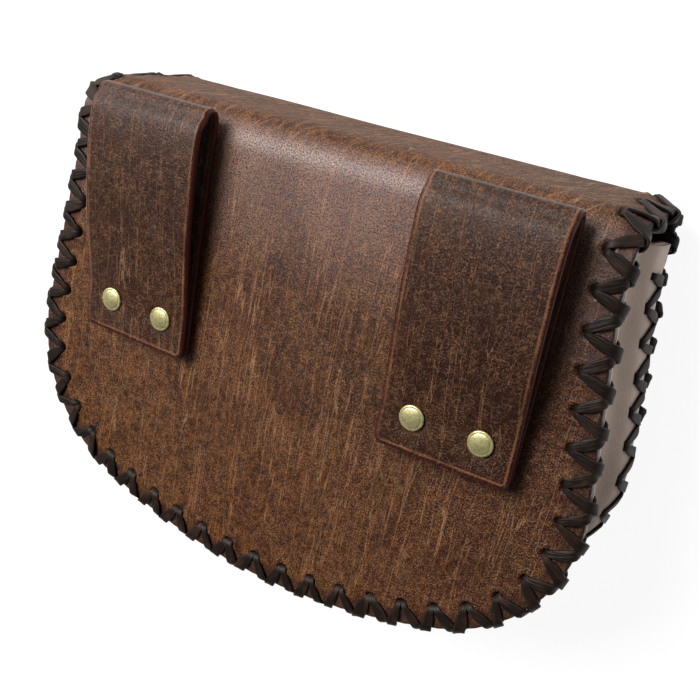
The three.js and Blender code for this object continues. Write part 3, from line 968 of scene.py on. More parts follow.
@dataclass
class FrontPanel:
    """The panel under the flap: a rim inside the fin, a bend and a gently bulged face.

    The bend is a table of shares: of its inset inward and of the plane's rise.
    """

    gusset: Gusset
    origin: Array
    bulge: float = 11.0
    plane_rise: float = 5.0
    bend_inset: float = 4.6
    border: float = 10.0
    spine_bottom_y: float = -30.0
    row_step: float = 3.0
    rim_samples: int = 14
    face_samples: int = 15
    bend: tuple[tuple[float, float], ...] = ((0.48, 0.3), (1.0, 0.75))

    @property
    def plane_depth(self) -> float:
        """Depth of the panel's flat border."""
        return self.gusset.seam_depth - self.plane_rise

    def rim(self) -> Array:
        """The panel's middle line from the rim's edge to the flat border.

        Returns:
            (S, 2) points of offset and depth.
        """
        stock = self.gusset.form.stock
        step = stock.gusset / 2 + stock.gap + stock.body / 2
        hole = np.array([self.gusset.flare, self.gusset.seam_depth]) + self.gusset.inward * step
        edge = hole + self.gusset.fin * stock.margin
        depth = self.gusset.seam_depth
        bend = [
            (hole[0] - inset * self.bend_inset, depth - rise * self.plane_rise)
            for inset, rise in self.bend
        ]
        points = np.array([edge, hole, *bend, (-self.border, self.plane_depth)])
        return curve_through(points, np.linspace(0, 1, self.rim_samples))

    def face(self, distance: Array, rim: Array) -> Array:
        """One face of the panel: rows run from the right rim over the spine to the left rim.

        Past the border a row goes straight to the spine line, and its depth grows by the
        bulge times 1 less the square of what is left of the way.

        Args:
            distance: (R,) distances along the seam, from 0.
            rim: (N, 2) the face's rim line as (offset, depth).

        Returns:
            (R, M, 3) points.
        """
        row, column = np.meshgrid(distance, np.arange(len(rim)), indexing="ij")
        side = self.gusset.place(row, rim[column, 0], rim[column, 1])
        inner = side[:, -1]
        spine_y = np.maximum(inner[:, 1], self.spine_bottom_y)
        share = np.linspace(0, 1, self.face_samples)[None, 1:]
        x = inner[:, :1] * (1 - share)
        y = inner[:, 1:2] + (spine_y[:, None] - inner[:, 1:2]) * share
        z = inner[:, 2:] - self.bulge * (1 - (1 - share) ** 2)
        half = np.concatenate([side, np.stack([x, y, z], axis=-1)], axis=1)
        return np.concatenate([half, half[:, -2::-1] * np.array([-1, 1, 1])], axis=1)

    def build(self, material: bpy.types.Material) -> bpy.types.Object:
        """Closes the panel's two faces round their border and folds the bottom row shut.

        Args:
            material: the finish.

        Returns:
            The new object.
        """
        line = self.rim()
        along = unit(np.gradient(line, axis=0))
        normal = np.stack([-along[:, 1], along[:, 0]], axis=1) * self.gusset.form.stock.body / 2
        count = round(self.gusset.end / self.row_step)
        distance = np.linspace(0, self.gusset.end, count + 1)
        faces = [self.face(distance, line + normal), self.face(distance, line - normal)[:, ::-1]]
        points = np.concatenate(faces, axis=1)
        made = PieceMesh()
        numbers = made.add_points(points, skin=points * np.array([1, 1, 0]) * MM)
        made.add_grid(numbers, around=True)
        half = points.shape[1] // 2
        upper, lower = numbers[-1, :half], numbers[-1, ::-1][:half]
        cap = np.stack([upper[:-1], lower[:-1], lower[1:], upper[1:]], axis=-1)
        made.faces.extend(cap[:, ::-1].tolist())
        piece = Piece("pouch_front", ("front_panel",), "body_leather", self.origin)
        return piece.finish(made, material, merge=True)


@dataclass
class BeltLoop:
    """Leather strip folded at its top, riveted to the back and lifted by the belt's slot.

    The two layers are tables over shares of the loop's length from its ends: the inner
    layer lies on the back at its shares, and the outer layer has a share of the full lift.
    """

    form: PouchForm
    origin: Array
    side: int
    width: float = 48.5
    length: float = 92.3
    inset: float = 32.8
    shift: float = 0.6
    top_rise: float = 12.7
    corner_radius: float = 2.8
    slip_low: float = 0.0
    slip_high: float = 0.0
    slot: float = 5.8
    slot_share: float = 0.57
    fold_thickness: float = 8.8
    fold_points: int = 7
    rivet_inset: float = 12.9
    rivet_spread: float = 24.2
    dimple_depth: float = 0.55
    dimple_radius: float = 5.2
    groove_depth: float = 0.22
    groove_inset: float = 2.0
    groove_width: float = 0.4
    bevel: float = 0.9
    end_thinning: float = 0.55
    columns: int = 31
    end_rows: tuple[float, ...] = (0.0, 0.15, 0.5, 1.0, 1.6, 2.3, 3.1, 4.0)
    middle_start: float = 5.0
    middle_rows: int = 116
    inner_heights: tuple[float, ...] = (0.0, 0.19, 0.42, 0.65, 0.87)
    outer_layer: tuple[tuple[float, float], ...] = (
        (0.92, 0.84), (0.85, 0.98), (0.76, 1.0), (0.62, 0.92), (0.48, 0.74), (0.36, 0.48),
        (0.26, 0.2), (0.18, 0.03), (0.08, 0.0), (0.0, 0.0),
    )

    @property
    def centre_x(self) -> float:
        """Middle of the loop across the pouch."""
        return self.shift + self.side * (self.form.back.top_half_width - self.inset)

    @property
    def top_y(self) -> float:
        """Height of the fold's outermost line."""
        return self.form.back.fold_start_y + self.top_rise

    @property
    def bottom_y(self) -> float:
        """Height of the strip's two ends."""
        return self.top_y - self.length

    @property
    def grip(self) -> float:
        """Leather under a rivet's cap: the loop's two layers, the back panel and the gaps."""
        stock = self.form.stock
        return 2 * stock.body + stock.body + 2 * stock.gap

    def rivet_places(self) -> list[tuple[float, float]]:
        """Centres of the loop's two rivets, inner one first."""
        y = self.bottom_y + self.rivet_inset
        half = self.side * self.rivet_spread / 2
        return [(self.centre_x - half, y), (self.centre_x + half, y)]

    def rivet_foot(self, x: float, y: float) -> Array:
        """The point on a rivet's axis at the back panel's inner face.

        Args:
            x: the rivet's x.
            y: the rivet's y.

        Returns:
            The point.
        """
        stock = self.form.stock
        cap = float(self.rest(x, y)) + stock.body + stock.gap + stock.body / 2
        return np.array([x, y, cap - self.grip])

    def height(self, share: float) -> float:
        """Height at a share of the loop's length from its ends."""
        return self.bottom_y + share * self.length

    def rest(self, x: Array, y: Array) -> Array:
        """Middle height of a layer that lies on the back.

        Args:
            x: places across the pouch.
            y: places along it. Past the fold's start they count as that start.

        Returns:
            Heights.
        """
        stock = self.form.stock
        y = np.minimum(y, self.form.back.fold_start_y)
        return self.form.swell(x, y) + stock.gap + stock.body / 2

    def path(self) -> Array:
        """Control points y, z and follow of the strip's middle line, from the inner end.

        Follow is 1 where the strip lies on the back, and 0 where it stands off it. The
        fold is a half circle. The outer layer's full lift puts the slot between it and
        the inner layer, so its middle is one and a half thicknesses and a slot up.

        Returns:
            (P, 3) points.
        """
        stock = self.form.stock
        lying = [(share, self.height(share)) for share in self.inner_heights]
        points = [(y, self.rest(self.centre_x, y), 1.0) for share, y in lying]
        radius = (self.fold_thickness - stock.body) / 2
        fold_y = self.top_y - stock.body / 2 - radius
        fold_z = self.rest(self.centre_x, fold_y) + radius
        for angle in np.linspace(-math.pi / 2, math.pi / 2, self.fold_points):
            y = fold_y + radius * math.cos(angle)
            points.append((y, fold_z + radius * math.sin(angle), 0.5))
        inner_x = abs(self.centre_x) - self.width / 2
        swell = self.form.swell(inner_x, self.height(self.slot_share))
        raised = swell + stock.gap + 1.5 * stock.body + self.slot
        for share, lift in self.outer_layer:
            y = self.height(share)
            flat = self.rest(self.centre_x, y) + stock.body + stock.gap
            points.append((y, flat + lift * (raised - flat), 1.0 - lift))
        return np.array(points)

    def rows(self) -> Array:
        """Where the sections stand, as shares of the strip's whole length."""
        total = 2 * self.length
        ends = np.array(self.end_rows) / total
        middle = np.linspace(self.middle_start, total - self.middle_start, self.middle_rows)
        return np.concatenate([ends, middle / total, 1 - ends[::-1]])

    def relief(self, x: Array, y: Array, edge: Array, rise: Array) -> Array:
        """The section's heights, pressed down at the rivets and in a line along the edge.

        A dimple falls off with the fourth power of the distance from its rivet, and the
        line's section is a bell curve.

        Args:
            x: places across the pouch.
            y: places of the sections along the strip.
            edge: distances from the strip's edge.
            rise: heights over the strip's middle, negative on its outer face.

        Returns:
            The new heights.
        """
        outer = (np.arange(len(y)) > len(y) / 2)[:, None]
        for rivet_x, rivet_y in self.rivet_places():
            away = np.hypot(x - rivet_x, y - rivet_y)
            rise = rise + self.dimple_depth * np.exp(-((away / self.dimple_radius) ** 4)) * outer
        beside = (edge - self.groove_inset) / self.groove_width
        groove = self.groove_depth * np.exp(-(beside**2))
        return rise + groove * outer * (rise < 0)

    def build(self, name: str, node: str, material: bpy.types.Material) -> bpy.types.Object:
        """Carries a slab section along the strip's middle line, narrowed round the corners.

        Args:
            name: the object's name.
            node: the node it replaces.
            material: the finish.

        Returns:
            The new object.
        """
        line = curve_through(self.path(), self.rows())
        middle = line[:, :1]
        run = np.concatenate([[0], np.cumsum(np.linalg.norm(np.diff(line[:, :2], axis=0), axis=1))])
        to_end = np.minimum(run, run[-1] - run)
        turn = 1 - np.clip(to_end / self.corner_radius, 0, 1)
        width = self.width - 2 * self.corner_radius * (1 - np.sqrt(1 - turn**2))
        thickness = np.full(len(run), self.form.stock.body)
        thickness[[0, -1]] *= self.end_thinning
        across, rise = slab_section(width, thickness, self.bevel, self.columns)
        along = unit(np.gradient(line[:, :2], axis=0))
        climb = (middle - line[-1, 0]) / self.length
        x = self.centre_x + across - self.slip_low - (self.slip_high - self.slip_low) * climb
        lean = np.stack([-along[:, 1], along[:, 0]], axis=1)
        edge = np.minimum(width[:, None] / 2 - np.abs(across), to_end[:, None])
        rise = self.relief(x, middle, edge, rise)
        y = middle + lean[:, :1] * rise
        on_back = np.minimum(y, self.form.back.fold_start_y)
        sway = self.form.swell(x, on_back) - self.form.swell(self.centre_x, on_back)
        uneven = self.form.unevenness(x, y)
        z = line[:, 1:2] + lean[:, 1:] * rise + line[:, 2:] * (sway + uneven)
        made = PieceMesh()
        skin = np.stack([x, run[:, None] + 0 * x, rise], axis=-1) * MM
        points = np.stack([x, y, z], axis=-1)
        made.add_tube(made.add_points(points, skin=skin, rim=edge))
        return Piece(name, (node,), "loop_leather", self.origin).finish(made, material)


@dataclass
class Fastener:
    """Round brass fastener: a domed cap with a rolled edge, a shank and a flat base.

    Lengths named as shares are shares of the cap's radius or of its height.
    """

    origin: Array
    grip: float
    cap_radius: float = 4.5
    cap_height: float = 1.3
    shank_radius: float = 1.6
    base_radius: float = 4.0
    base_height: float = 0.9
    edge_share: float = 0.45
    dome_share: float = 0.92
    under_share: float = 0.94
    tuck_share: float = 0.25
    groove: float = 0.14
    groove_share: float = 0.8
    groove_width: float = 0.045
    dome_points: int = 24
    bend_points: int = 4
    sides: int = 48

    def profile(self) -> Array:
        """Radii and heights from the base's centre to the cap's top.

        The cap is a low dome: its height falls with the square of the radius, less a thin
        groove inside the rim, and then turns down in a quarter circle at its edge.

        Returns:
            (P, 2) points.
        """
        edge = self.edge_share * self.cap_height
        share = np.linspace(self.dome_share, 0.0, self.dome_points)
        crown = self.cap_height - edge
        groove = self.groove * np.exp(-(((share - self.groove_share) / self.groove_width) ** 2))
        heights = self.grip + edge + crown * (1 - share**2) - groove
        start = heights[0] - self.grip
        bend = np.linspace(0, math.pi / 2, self.bend_points + 1)[:-1]
        rolled_out = self.dome_share + (1 - self.dome_share) * np.cos(bend)
        rolled_up = self.tuck_share + (1 - self.tuck_share) * np.sin(bend)
        rolled = zip(self.cap_radius * rolled_out, self.grip + start * rolled_up)
        lower = [
            (0.0, -self.base_height),
            (self.base_radius, -self.base_height),
            (self.base_radius, 0.0),
            (self.shank_radius, 0.0),
            (self.shank_radius, self.grip),
            (self.under_share * self.cap_radius, self.grip),
        ]
        return np.array([*lower, *rolled, *zip(share * self.cap_radius, heights)])

    def build(
        self, name: str, node: str, foot: Array, material: bpy.types.Material, turned: bool = False
    ) -> bpy.types.Object:
        """Turns the profile round its axis.

        Args:
            name: the object's name.
            node: the node it replaces.
            foot: the axis's point under the cap's grip.
            material: the finish.
            turned: whether the cap points down.

        Returns:
            The new object.
        """
        points = revolved(self.profile(), np.zeros(3), self.sides)
        if turned:
            points = points * np.array([1, -1, -1])
        made = PieceMesh()
        made.add_grid(made.add_points(points + foot), around=True)
        return Piece(name, (node,), "brass", self.origin).finish(made, material, merge=True)


class Strand(Enum):
    """The two strands of a stitch, and which way along the seam each one crosses the edge."""

    UNDER = 1
    OVER = -1


@dataclass
class CrossLacing:
    """Flat lace crossed over an edge: from each hole two strands go to its neighbours' backs.

    A strand's route is a table of where it is along the pitch, outward as a share of the
    margin, its level from face to rear, its lift and its turn in degrees. The second half
    of the route mirrors the first. The loose sizes are how much stitches differ.
    """

    name: str
    nodes: tuple[str, ...]
    origin: Array
    stock: Stock
    edge: LacedEdge
    first: int
    last: int
    thickness: float
    seed: int
    width: float = 4.0
    hole_width: float = 2.4
    widening: tuple[float, float] = (0.06, 0.26)
    stations: int = 29
    sides: int = 12
    roundness: float = 0.3
    cup: float = 0.06
    turn_scale: float = 0.03
    crossing_width: float = 0.13
    crossing_rise: float = 0.95
    crossing_pull: float = 0.35
    loose_along: float = 0.035
    loose_skew: float = 0.03
    loose_outward: float = 0.18
    loose_rise: float = 0.1
    loose_turn: float = 10.0
    loose_width: float = 0.1
    pattern_apart: tuple[float, float] = (9.0, 40.0)
    route: tuple[tuple[float, float, float, float, float], ...] = (
        (0.05, -0.10, 0.0, -1.9, -88.0),
        (0.055, -0.07, 0.0, -0.6, -76.0),
        (0.08, 0.04, 0.0, 0.5, -32.0),
        (0.16, 0.30, 0.0, 0.66, 0.0),
        (0.29, 0.72, 0.0, 0.66, 4.0),
        (0.37, 0.97, 0.03, 0.55, 28.0),
        (0.43, 1.09, 0.2, 0.0, 72.0),
        (0.50, 1.12, 0.5, 0.0, 90.0),
    )

    def middle_line(self) -> Array:
        """Samples of a strand's route, even along its length in millimetres.

        Returns:
            (S, 5) rows of along, outward, level, lift and turn.
        """
        table = np.array(self.route)
        mirrored = table[-2::-1].copy()
        mirrored[:, 0] = 1 - mirrored[:, 0]
        mirrored[:, 2] = 1 - mirrored[:, 2]
        mirrored[:, 3] = -mirrored[:, 3]
        mirrored[:, 4] = 180 - mirrored[:, 4]
        whole = np.concatenate([table, mirrored])
        stock = self.stock
        scale = np.array([stock.pitch, stock.margin, stock.joined, 1.0, self.turn_scale])
        return curve_through(whole * scale, np.linspace(0, 1, self.stations)) / scale

    def strands(self, kind: Strand) -> tuple[Array, Array]:
        """Points of all the strands of one kind.

        Args:
            kind: which of a stitch's two strands.

        Returns:
            (K, S, C, 3) points and pattern values.
        """
        rng = np.random.default_rng(self.seed + kind.value)
        start = np.arange(self.first, self.last)
        line = self.middle_line()
        along, outward, level, lift, turn = (line[:, i][None, :] for i in range(5))
        loose = rng.normal(0, 1, (len(start), 5))
        middle = np.exp(-(((along - 0.5) / self.crossing_width) ** 2))
        wander = np.sin(math.pi * along)
        skew = self.loose_skew * loose[:, 1:2] * wander * np.cos(math.pi * along)
        along = along + self.loose_along * loose[:, :1] * wander + skew
        hole = start[:, None] + (along if kind is Strand.UNDER else 1 - along)
        over = self.stock.lace * self.crossing_rise if kind is Strand.OVER else 0.0
        offset = outward * self.stock.margin + over * middle
        offset = offset + self.loose_outward * loose[:, 2:3] * middle
        offset = offset - self.crossing_pull * middle
        rise = lift - level * self.thickness + self.loose_rise * loose[:, 3:4] * wander
        rise = rise - self.edge.edge_curl(hole, offset)
        frames = self.edge.edge_frame(hole)
        centre = frames.place(offset, rise)
        tangent = unit(np.gradient(centre, axis=1))
        angle = np.radians(turn + self.loose_turn * loose[:, 4:5] * wander)[..., None]
        up = frames.normal * np.cos(angle) + frames.outward * np.sin(angle)
        up = unit(up - tangent * np.sum(up * tangent, axis=-1, keepdims=True))
        wide = np.cross(tangent, up)
        to_hole = smooth(np.minimum(line[:, 0], 1 - line[:, 0]), *self.widening)
        width = self.hole_width + (self.width - self.hole_width) * to_hole
        width = width[None, :] * (1 + self.loose_width * rng.normal(0, 1, (len(start), 1)))
        across, height = strip_section(width, self.stock.lace, self.sides, self.roundness)
        cup = self.cup * (across / self.width * 2) ** 2
        points = centre[:, :, None] + wide[:, :, None] * across[..., None]
        points = points + up[:, :, None] * (height - cup)[..., None]
        kind_apart, strand_apart = self.pattern_apart
        run = hole[..., None] * self.stock.pitch + 0 * across
        own = strand_apart * start[:, None, None] + 0 * across
        skin = np.stack([across + kind_apart * kind.value, run, own], axis=-1)
        return points, skin * MM

    def build(self, material: bpy.types.Material) -> bpy.types.Object:
        """Makes each strand a closed tube and joins them in one object.

        Args:
            material: the finish.

        Returns:
            The new object.
        """
        made = PieceMesh()
        for kind in Strand:
            points, skin = self.strands(kind)
            numbers = made.add_points(points, skin=skin)
            for strand in numbers:
                made.add_tube(strand)
        return Piece(self.name, self.nodes, "lace", self.origin).finish(made, material)


# Shader graphs

Setting = bool | int | float | str | list[tuple[float, Colour]]


@dataclass(frozen=True)
class Noise:
    """A fractal noise around one half.

    It has a scale, a number of finer layers, their strength, and how much of the skin's
    length counts, so that less than 1 draws it out along the skin.
    """

    scale: float
    detail: float = 2.0
    rough: float = 0.5
    along: float = 1.0


class Number:
    """A value in a shader graph, on which arithmetic adds Math nodes."""

    def __init__(self, graph: "Graph", socket: Socket) -> None:
        """Wraps an output socket of a graph."""
        self.graph = graph
        self.socket = socket

    def math(self, operation: str, *values: "Number | float", clamped: bool = False) -> "Number":
        """Adds a Math node.

        Args:
            operation: the node's operation.
            values: its inputs in order.
            clamped: whether the result stays between 0 and 1.

        Returns:
            The node's value.
        """
        settings = {"operation": operation, "use_clamp": clamped}
        node = self.graph.node("ShaderNodeMath", settings, dict(enumerate(values)))
        return Number(self.graph, node.outputs[0])

    def __add__(self, other: "Number | float") -> "Number":
        """Sum."""
        return self.math("ADD", self, other)

    __radd__ = __add__

    def __sub__(self, other: "Number | float") -> "Number":
        """Difference."""
        return self.math("SUBTRACT", self, other)

    def __rsub__(self, other: "Number | float") -> "Number":
        """Difference from the other."""
        return self.math("SUBTRACT", other, self)

    def __mul__(self, other: "Number | float") -> "Number":
        """Product."""
        return self.math("MULTIPLY", self, other)

    __rmul__ = __mul__

    def __abs__(self) -> "Number":
        """Size without its sign."""
        return self.math("ABSOLUTE", self)

    def share(self) -> "Number":
        """The value kept between 0 and 1."""
        return self.math("ADD", self, 0.0, clamped=True)

    def step(self, low: float, high: float) -> "Number":
        """Smooth step from 0 at low to 1 at high, or falling where low is above high.

        Args:
            low: where the step is 0.
            high: where the step is 1.

        Returns:
            The graded value.
        """
        inputs = {"Value": self, "From Min": low, "From Max": high}
        node = self.graph.node("ShaderNodeMapRange", {"interpolation_type": "SMOOTHSTEP"}, inputs)
        return Number(self.graph, node.outputs["Result"])

    def above(self, rest: float) -> "Number":
        """The value squeezed so that it runs from a rest to 1."""
        return rest + (1.0 - rest) * self

    def line(self, sharpness: float) -> "Number":
        """Thin lines where a noise passes its middle value, from 0 to 1."""
        return (1.0 - abs(self - 0.5) * sharpness).share()


Plug = Number | Socket | float | tuple[float, ...]


class Graph:
    """The node tree of one material or world."""

    def __init__(self, owner: bpy.types.Material | bpy.types.World) -> None:
        """Empties the owner's node tree."""
        owner.use_nodes = True
        self.owner = owner
        self.tree = owner.node_tree
        self.tree.nodes.clear()

    def node(
        self,
        kind: str,
        settings: dict[str, Setting] | None = None,
        inputs: dict[int | str, Plug] | None = None,
    ) -> bpy.types.Node:
        """Adds a node, sets it up and then fills or links its inputs.

        Args:
            kind: the node's type.
            settings: its properties, and the stops of a ramp as pairs under "stops".
            inputs: values or links by socket name or number.

        Returns:
            The node.
        """
        node = self.tree.nodes.new(kind)
        for name, setting in (settings or {}).items():
            if name == "stops":
                self.set_stops(node.color_ramp, setting)
            else:
                setattr(node, name, setting)
        for key, value in (inputs or {}).items():
            socket = node.inputs[key]
            if isinstance(value, Number):
                self.tree.links.new(value.socket, socket)
            elif isinstance(value, Socket):
                self.tree.links.new(value, socket)
            else:
                socket.default_value = value
        return node

    def set_stops(self, ramp: bpy.types.ColorRamp, stops: list[tuple[float, Colour]]) -> None:
        """Gives a ramp its stops.

        Args:
            ramp: the ramp.
            stops: a place and a colour for each.
        """
        while len(ramp.elements) < len(stops):
            ramp.elements.new(1.0)
        for element, (place, colour) in zip(ramp.elements, stops):
            element.position = place
            element.color = colour

    def point(self, name: str) -> Socket:
        """A mesh's own vector value."""
        return self.node("ShaderNodeAttribute", {"attribute_name": name}).outputs["Vector"]

    def level(self, name: str) -> Number:
        """A mesh's own number."""
        node = self.node("ShaderNodeAttribute", {"attribute_name": name})
        return Number(self, node.outputs["Fac"])

    def part(self, vector: Socket, axis: str) -> Number:
        """One part of a vector: X, Y or Z."""
        node = self.node("ShaderNodeSeparateXYZ", inputs={"Vector": vector})
        return Number(self, node.outputs[axis])

    def combined(self, operation: str, first: Plug, second: Plug) -> Socket:
        """Two vectors put together by a Vector Math node.

        Args:
            operation: the node's operation.
            first: its first vector.
            second: its second vector.

        Returns:
            The new vector.
        """
        inputs = {0: first, 1: second}
        return self.node("ShaderNodeVectorMath", {"operation": operation}, inputs).outputs["Vector"]

    def warped(self, vector: Socket, scale: float, reach: float) -> Socket:
        """A vector moved about by noise.

        Args:
            vector: the vector to move.
            scale: the noise's scale.
            reach: how far it moves the vector each way.

        Returns:
            The moved vector.
        """
        inputs = {"Vector": vector, "Scale": scale, "Detail": 2.0}
        push = self.node("ShaderNodeTexNoise", inputs=inputs).outputs["Color"]
        centred = self.combined("SUBTRACT", push, (0.5, 0.5, 0.5))
        return self.combined("ADD", vector, self.combined("MULTIPLY", centred, (2 * reach,) * 3))

    def noise(self, vector: Socket, kind: Noise) -> Number:
        """A noise read at a vector, drawn out along Y where the kind says so.

        Args:
            vector: where to read it.
            kind: the noise's settings.

        Returns:
            The noise.
        """
        if kind.along != 1.0:
            vector = self.combined("MULTIPLY", vector, (1.0, kind.along, 1.0))
        inputs = {
            "Vector": vector, "Scale": kind.scale, "Detail": kind.detail, "Roughness": kind.rough,
        }
        return Number(self, self.node("ShaderNodeTexNoise", inputs=inputs).outputs["Fac"])

    def blend(self, factor: Number | float, first: Plug, second: Plug) -> Socket:
        """Mixes two colours.

        Args:
            factor: share of the second colour.
            first: a colour or a link.
            second: a colour or a link.

        Returns:
            The mixed colour.
        """
        inputs = {0: factor, 6: first, 7: second}
        return self.node("ShaderNodeMix", {"data_type": "RGBA"}, inputs).outputs[2]

    def bump(self, height: Number, distance: float) -> Socket:
        """A normal from a height, where a height of one stands for the distance in metres."""
        inputs = {"Height": height, "Distance": distance, "Strength": 1.0}
        return self.node("ShaderNodeBump", inputs=inputs).outputs["Normal"]

    def surface(self, **inputs: Plug) -> bpy.types.Material:
        """Adds the main shader and the output.

        Args:
            inputs: the shader's inputs, named by their words joined by underscores.

        Returns:
            The material.
        """
        named = {name.replace("_", " "): value for name, value in inputs.items()}
        shader = self.node("ShaderNodeBsdfPrincipled", inputs=named)
        self.node("ShaderNodeOutputMaterial", inputs={"Surface": shader.outputs["BSDF"]})
        return self.owner


# Finishes

@dataclass(frozen=True)
class Scratches:
    """Long thin lines: their turn from the skin's length in degrees, scale and sharpness."""

    turn: float
    scale: float
    sharpness: float
    detail: float = 2.0
    rough: float = 0.55
    along: float = 0.035

    def drawn(self, g: Graph, skin: Socket) -> Number:
        """The lines' strength on the skin, from 0 to 1.

        Args:
            g: the material's graph.
            skin: place on the pattern.

        Returns:
            The strength.
        """
        settings = {"rotation_type": "Z_AXIS"}
        inputs = {"Vector": skin, "Angle": math.radians(self.turn)}
        turned = g.node("ShaderNodeVectorRotate", settings, inputs).outputs["Vector"]
        kind = Noise(self.scale, self.detail, self.rough, self.along)
        return g.noise(turned, kind).line(self.sharpness)


@dataclass(frozen=True)
class Marks:
    """The values that several layers of an aged leather share, each mostly from 0 to 1."""

    skin: Socket
    tone: Number
    patch: Number
    blotch: Number
    speck: Number
    dusty: Number
    top: Number
    sheen_band: Number
    line: Number
    vein: Number


@dataclass(frozen=True)
class AgedLeather:
    """Brown leather with fine pale scratches, specks, grain and mottling, a painted sheen along the
    start of the top fold and painted shade towards the right side.

    A pair of numbers tells where a smooth step starts and ends. Bands on the skin are in
    metres of the flat pattern, and those beside the rim or a strip's edge in millimetres.
    """

    name: str
    dark: Colour = linear(34, 15, 9)
    middle: Colour = linear(64, 32, 19)
    olive: Colour = linear(80, 56, 26)
    warm: Colour = linear(114, 69, 31)
    scratch: Colour = linear(168, 124, 90)
    # painted sheen: the pale greyish pink of the key light's highlight along the start of the top
    # fold
    painted_sheen: Colour = linear(178, 148, 142)
    speckle: Colour = linear(150, 106, 77)
    edge: Colour = linear(62, 20, 15)
    # pale crease line along the loop's edge: a burnished crease and partly painted highlight
    crease_highlight: Colour = linear(150, 98, 66)
    # near-black dye of the cut edge, also painted as shade inside the lace holes
    edge_dye_and_hole_shade: Colour = linear(20, 13, 11)
    # darker margin between the lace strands: partly dye and partly painted shade
    margin: Colour = linear(50, 32, 28)
    scratches: float = 0.74
    veins: float = 0.28
    specks: float = 0.6
    top_arcs: float = 1.0
    shade: float = 0.0
    polished_edge: bool = False

    warp_scale: float = 50.0
    warp_reach: float = 0.0009
    tone_noise: Noise = Noise(17.0, 3.0, 0.6, along=0.6)
    patch_noise: Noise = Noise(170.0, 5.0, 0.75, along=0.55)
    mottle_noise: Noise = Noise(62.0, 4.0, 0.66, along=0.7)
    blotch_noise: Noise = Noise(430.0, 4.0, 0.72, along=0.7)
    wear_noise: Noise = Noise(60.0, 3.0, along=0.35)
    vein_noise: Noise = Noise(330.0, 3.0, 0.6)
    speck_noise: Noise = Noise(1750.0, 3.0, 0.8)
    dust_noise: Noise = Noise(42.0, 3.0, 0.6)
    grain_noise: Noise = Noise(2100.0, 2.0, 0.6)
    straight: Scratches = Scratches(2.0, 230.0, 62.0)
    slanted: Scratches = Scratches(-6.0, 300.0, 60.0)
    crossing: Scratches = Scratches(28.0, 190.0, 55.0)
    vein_sharpness: float = 24.0

    middle_step: tuple[float, float] = (0.34, 0.58)
    olive_step: tuple[float, float] = (0.46, 0.64)
    warm_step: tuple[float, float] = (0.36, 0.68)
    blotch_dark_step: tuple[float, float] = (0.53, 0.38)
    blotch_warm_step: tuple[float, float] = (0.5, 0.66)
    sheen_step: tuple[float, float] = (0.35, 0.6)
    wear_step: tuple[float, float] = (0.4, 0.66)
    scratch_step: tuple[float, float] = (0.35, 0.6)
    vein_step: tuple[float, float] = (0.38, 0.6)
    dust_step: tuple[float, float] = (0.36, 0.62)
    speck_step: tuple[float, float] = (0.52, 0.6)
    speck_dark_step: tuple[float, float] = (0.5, 0.4)
    coat_step: tuple[float, float] = (0.44, 0.6)

    top_start: tuple[float, float] = (0.093, 0.101)
    top_end: tuple[float, float] = (0.166, 0.154)
    sheen_start: tuple[float, float] = (0.04, 0.086)
    sheen_end: tuple[float, float] = (0.101, 0.095)
    low_left: tuple[float, float] = (-0.09, 0.13)
    low_left_slant: float = 0.75
    right_side: tuple[float, float] = (0.035, 0.105)
    edge_polish: tuple[float, float] = (1.2, 0.4)
    pressed_start: tuple[float, float] = (1.1, 1.5)
    pressed_end: tuple[float, float] = (2.2, 1.7)
    margin_start: tuple[float, float] = (0.5, 3.5)
    dyed_start: tuple[float, float] = (7.3, 7.9)

    straight_rest: float = 0.45
    slanted_share: float = 0.25
    crossing_rest: float = 0.12
    crossing_top: float = 0.5
    scratch_rest: float = 0.45
    dust_rest: float = 0.35
    olive_share: float = 0.7
    warm_low: float = 0.7
    warm_top: float = 0.5
    warm_rest: float = 0.2
    right_shade: float = 0.45
    blotch_dark: float = 0.8
    blotch_warm: float = 0.36
    shade_cools: float = 0.3
    sheen_share: float = 0.14
    speck_dark: float = 0.9
    polish_share: float = 0.85
    polish_gloss: float = 0.16
    polish_flat: float = 0.8
    crease_highlight_rest: float = 0.15
    crease_highlight_dusty: float = 0.3
    margin_share: float = 0.55
    dye_and_hole_shade_share: float = 0.92
    rough_rest: float = 0.16
    rough_patch: float = 0.22
    rough_speck: float = 0.12
    rough_top: float = 0.35
    high_grain: float = 0.4
    high_speck: float = 0.6
    high_patch: float = 0.5
    low_line: float = 0.3
    low_vein: float = 0.2
    bump_height: float = 0.00028
    specular: float = 0.22
    coat_rest: float = 0.06
    coat_broken: float = 0.44
    coat_rough: float = 0.36

    def marks(self, g: Graph) -> Marks:
        """Builds the values that the layers share.

        Args:
            g: the material's graph.

        Returns:
            The values.
        """
        skin = g.point("skin")
        bent = g.warped(skin, self.warp_scale, self.warp_reach)
        length = g.part(skin, "Y")
        patch = g.noise(skin, self.patch_noise)
        top = self.top_arcs * (length.step(*self.top_start) * length.step(*self.top_end))
        worn = g.noise(skin, self.wear_noise).step(*self.wear_step)
        sparse = self.straight.drawn(g, bent) * worn.above(self.straight_rest)
        sparse = sparse + self.slanted_share * self.slanted.drawn(g, bent) * worn
        crossed = self.crossing_rest * (1.0 - worn) + self.crossing_top * top
        crossing = self.crossing.drawn(g, bent) * crossed
        return Marks(
            skin=skin,
            tone=g.noise(skin, self.tone_noise),
            patch=patch,
            blotch=g.noise(skin, self.blotch_noise),
            speck=g.noise(skin, self.speck_noise),
            dusty=g.noise(skin, self.dust_noise).step(*self.dust_step),
            top=top,
            # band along the start of the top fold: painted sheen in the colour and a real coat of
            # gloss
            sheen_band=self.top_arcs * length.step(*self.sheen_start) * length.step(*self.sheen_end),
            line=(sparse + crossing).share(),
            vein=g.noise(bent, self.vein_noise).line(self.vein_sharpness),
        )

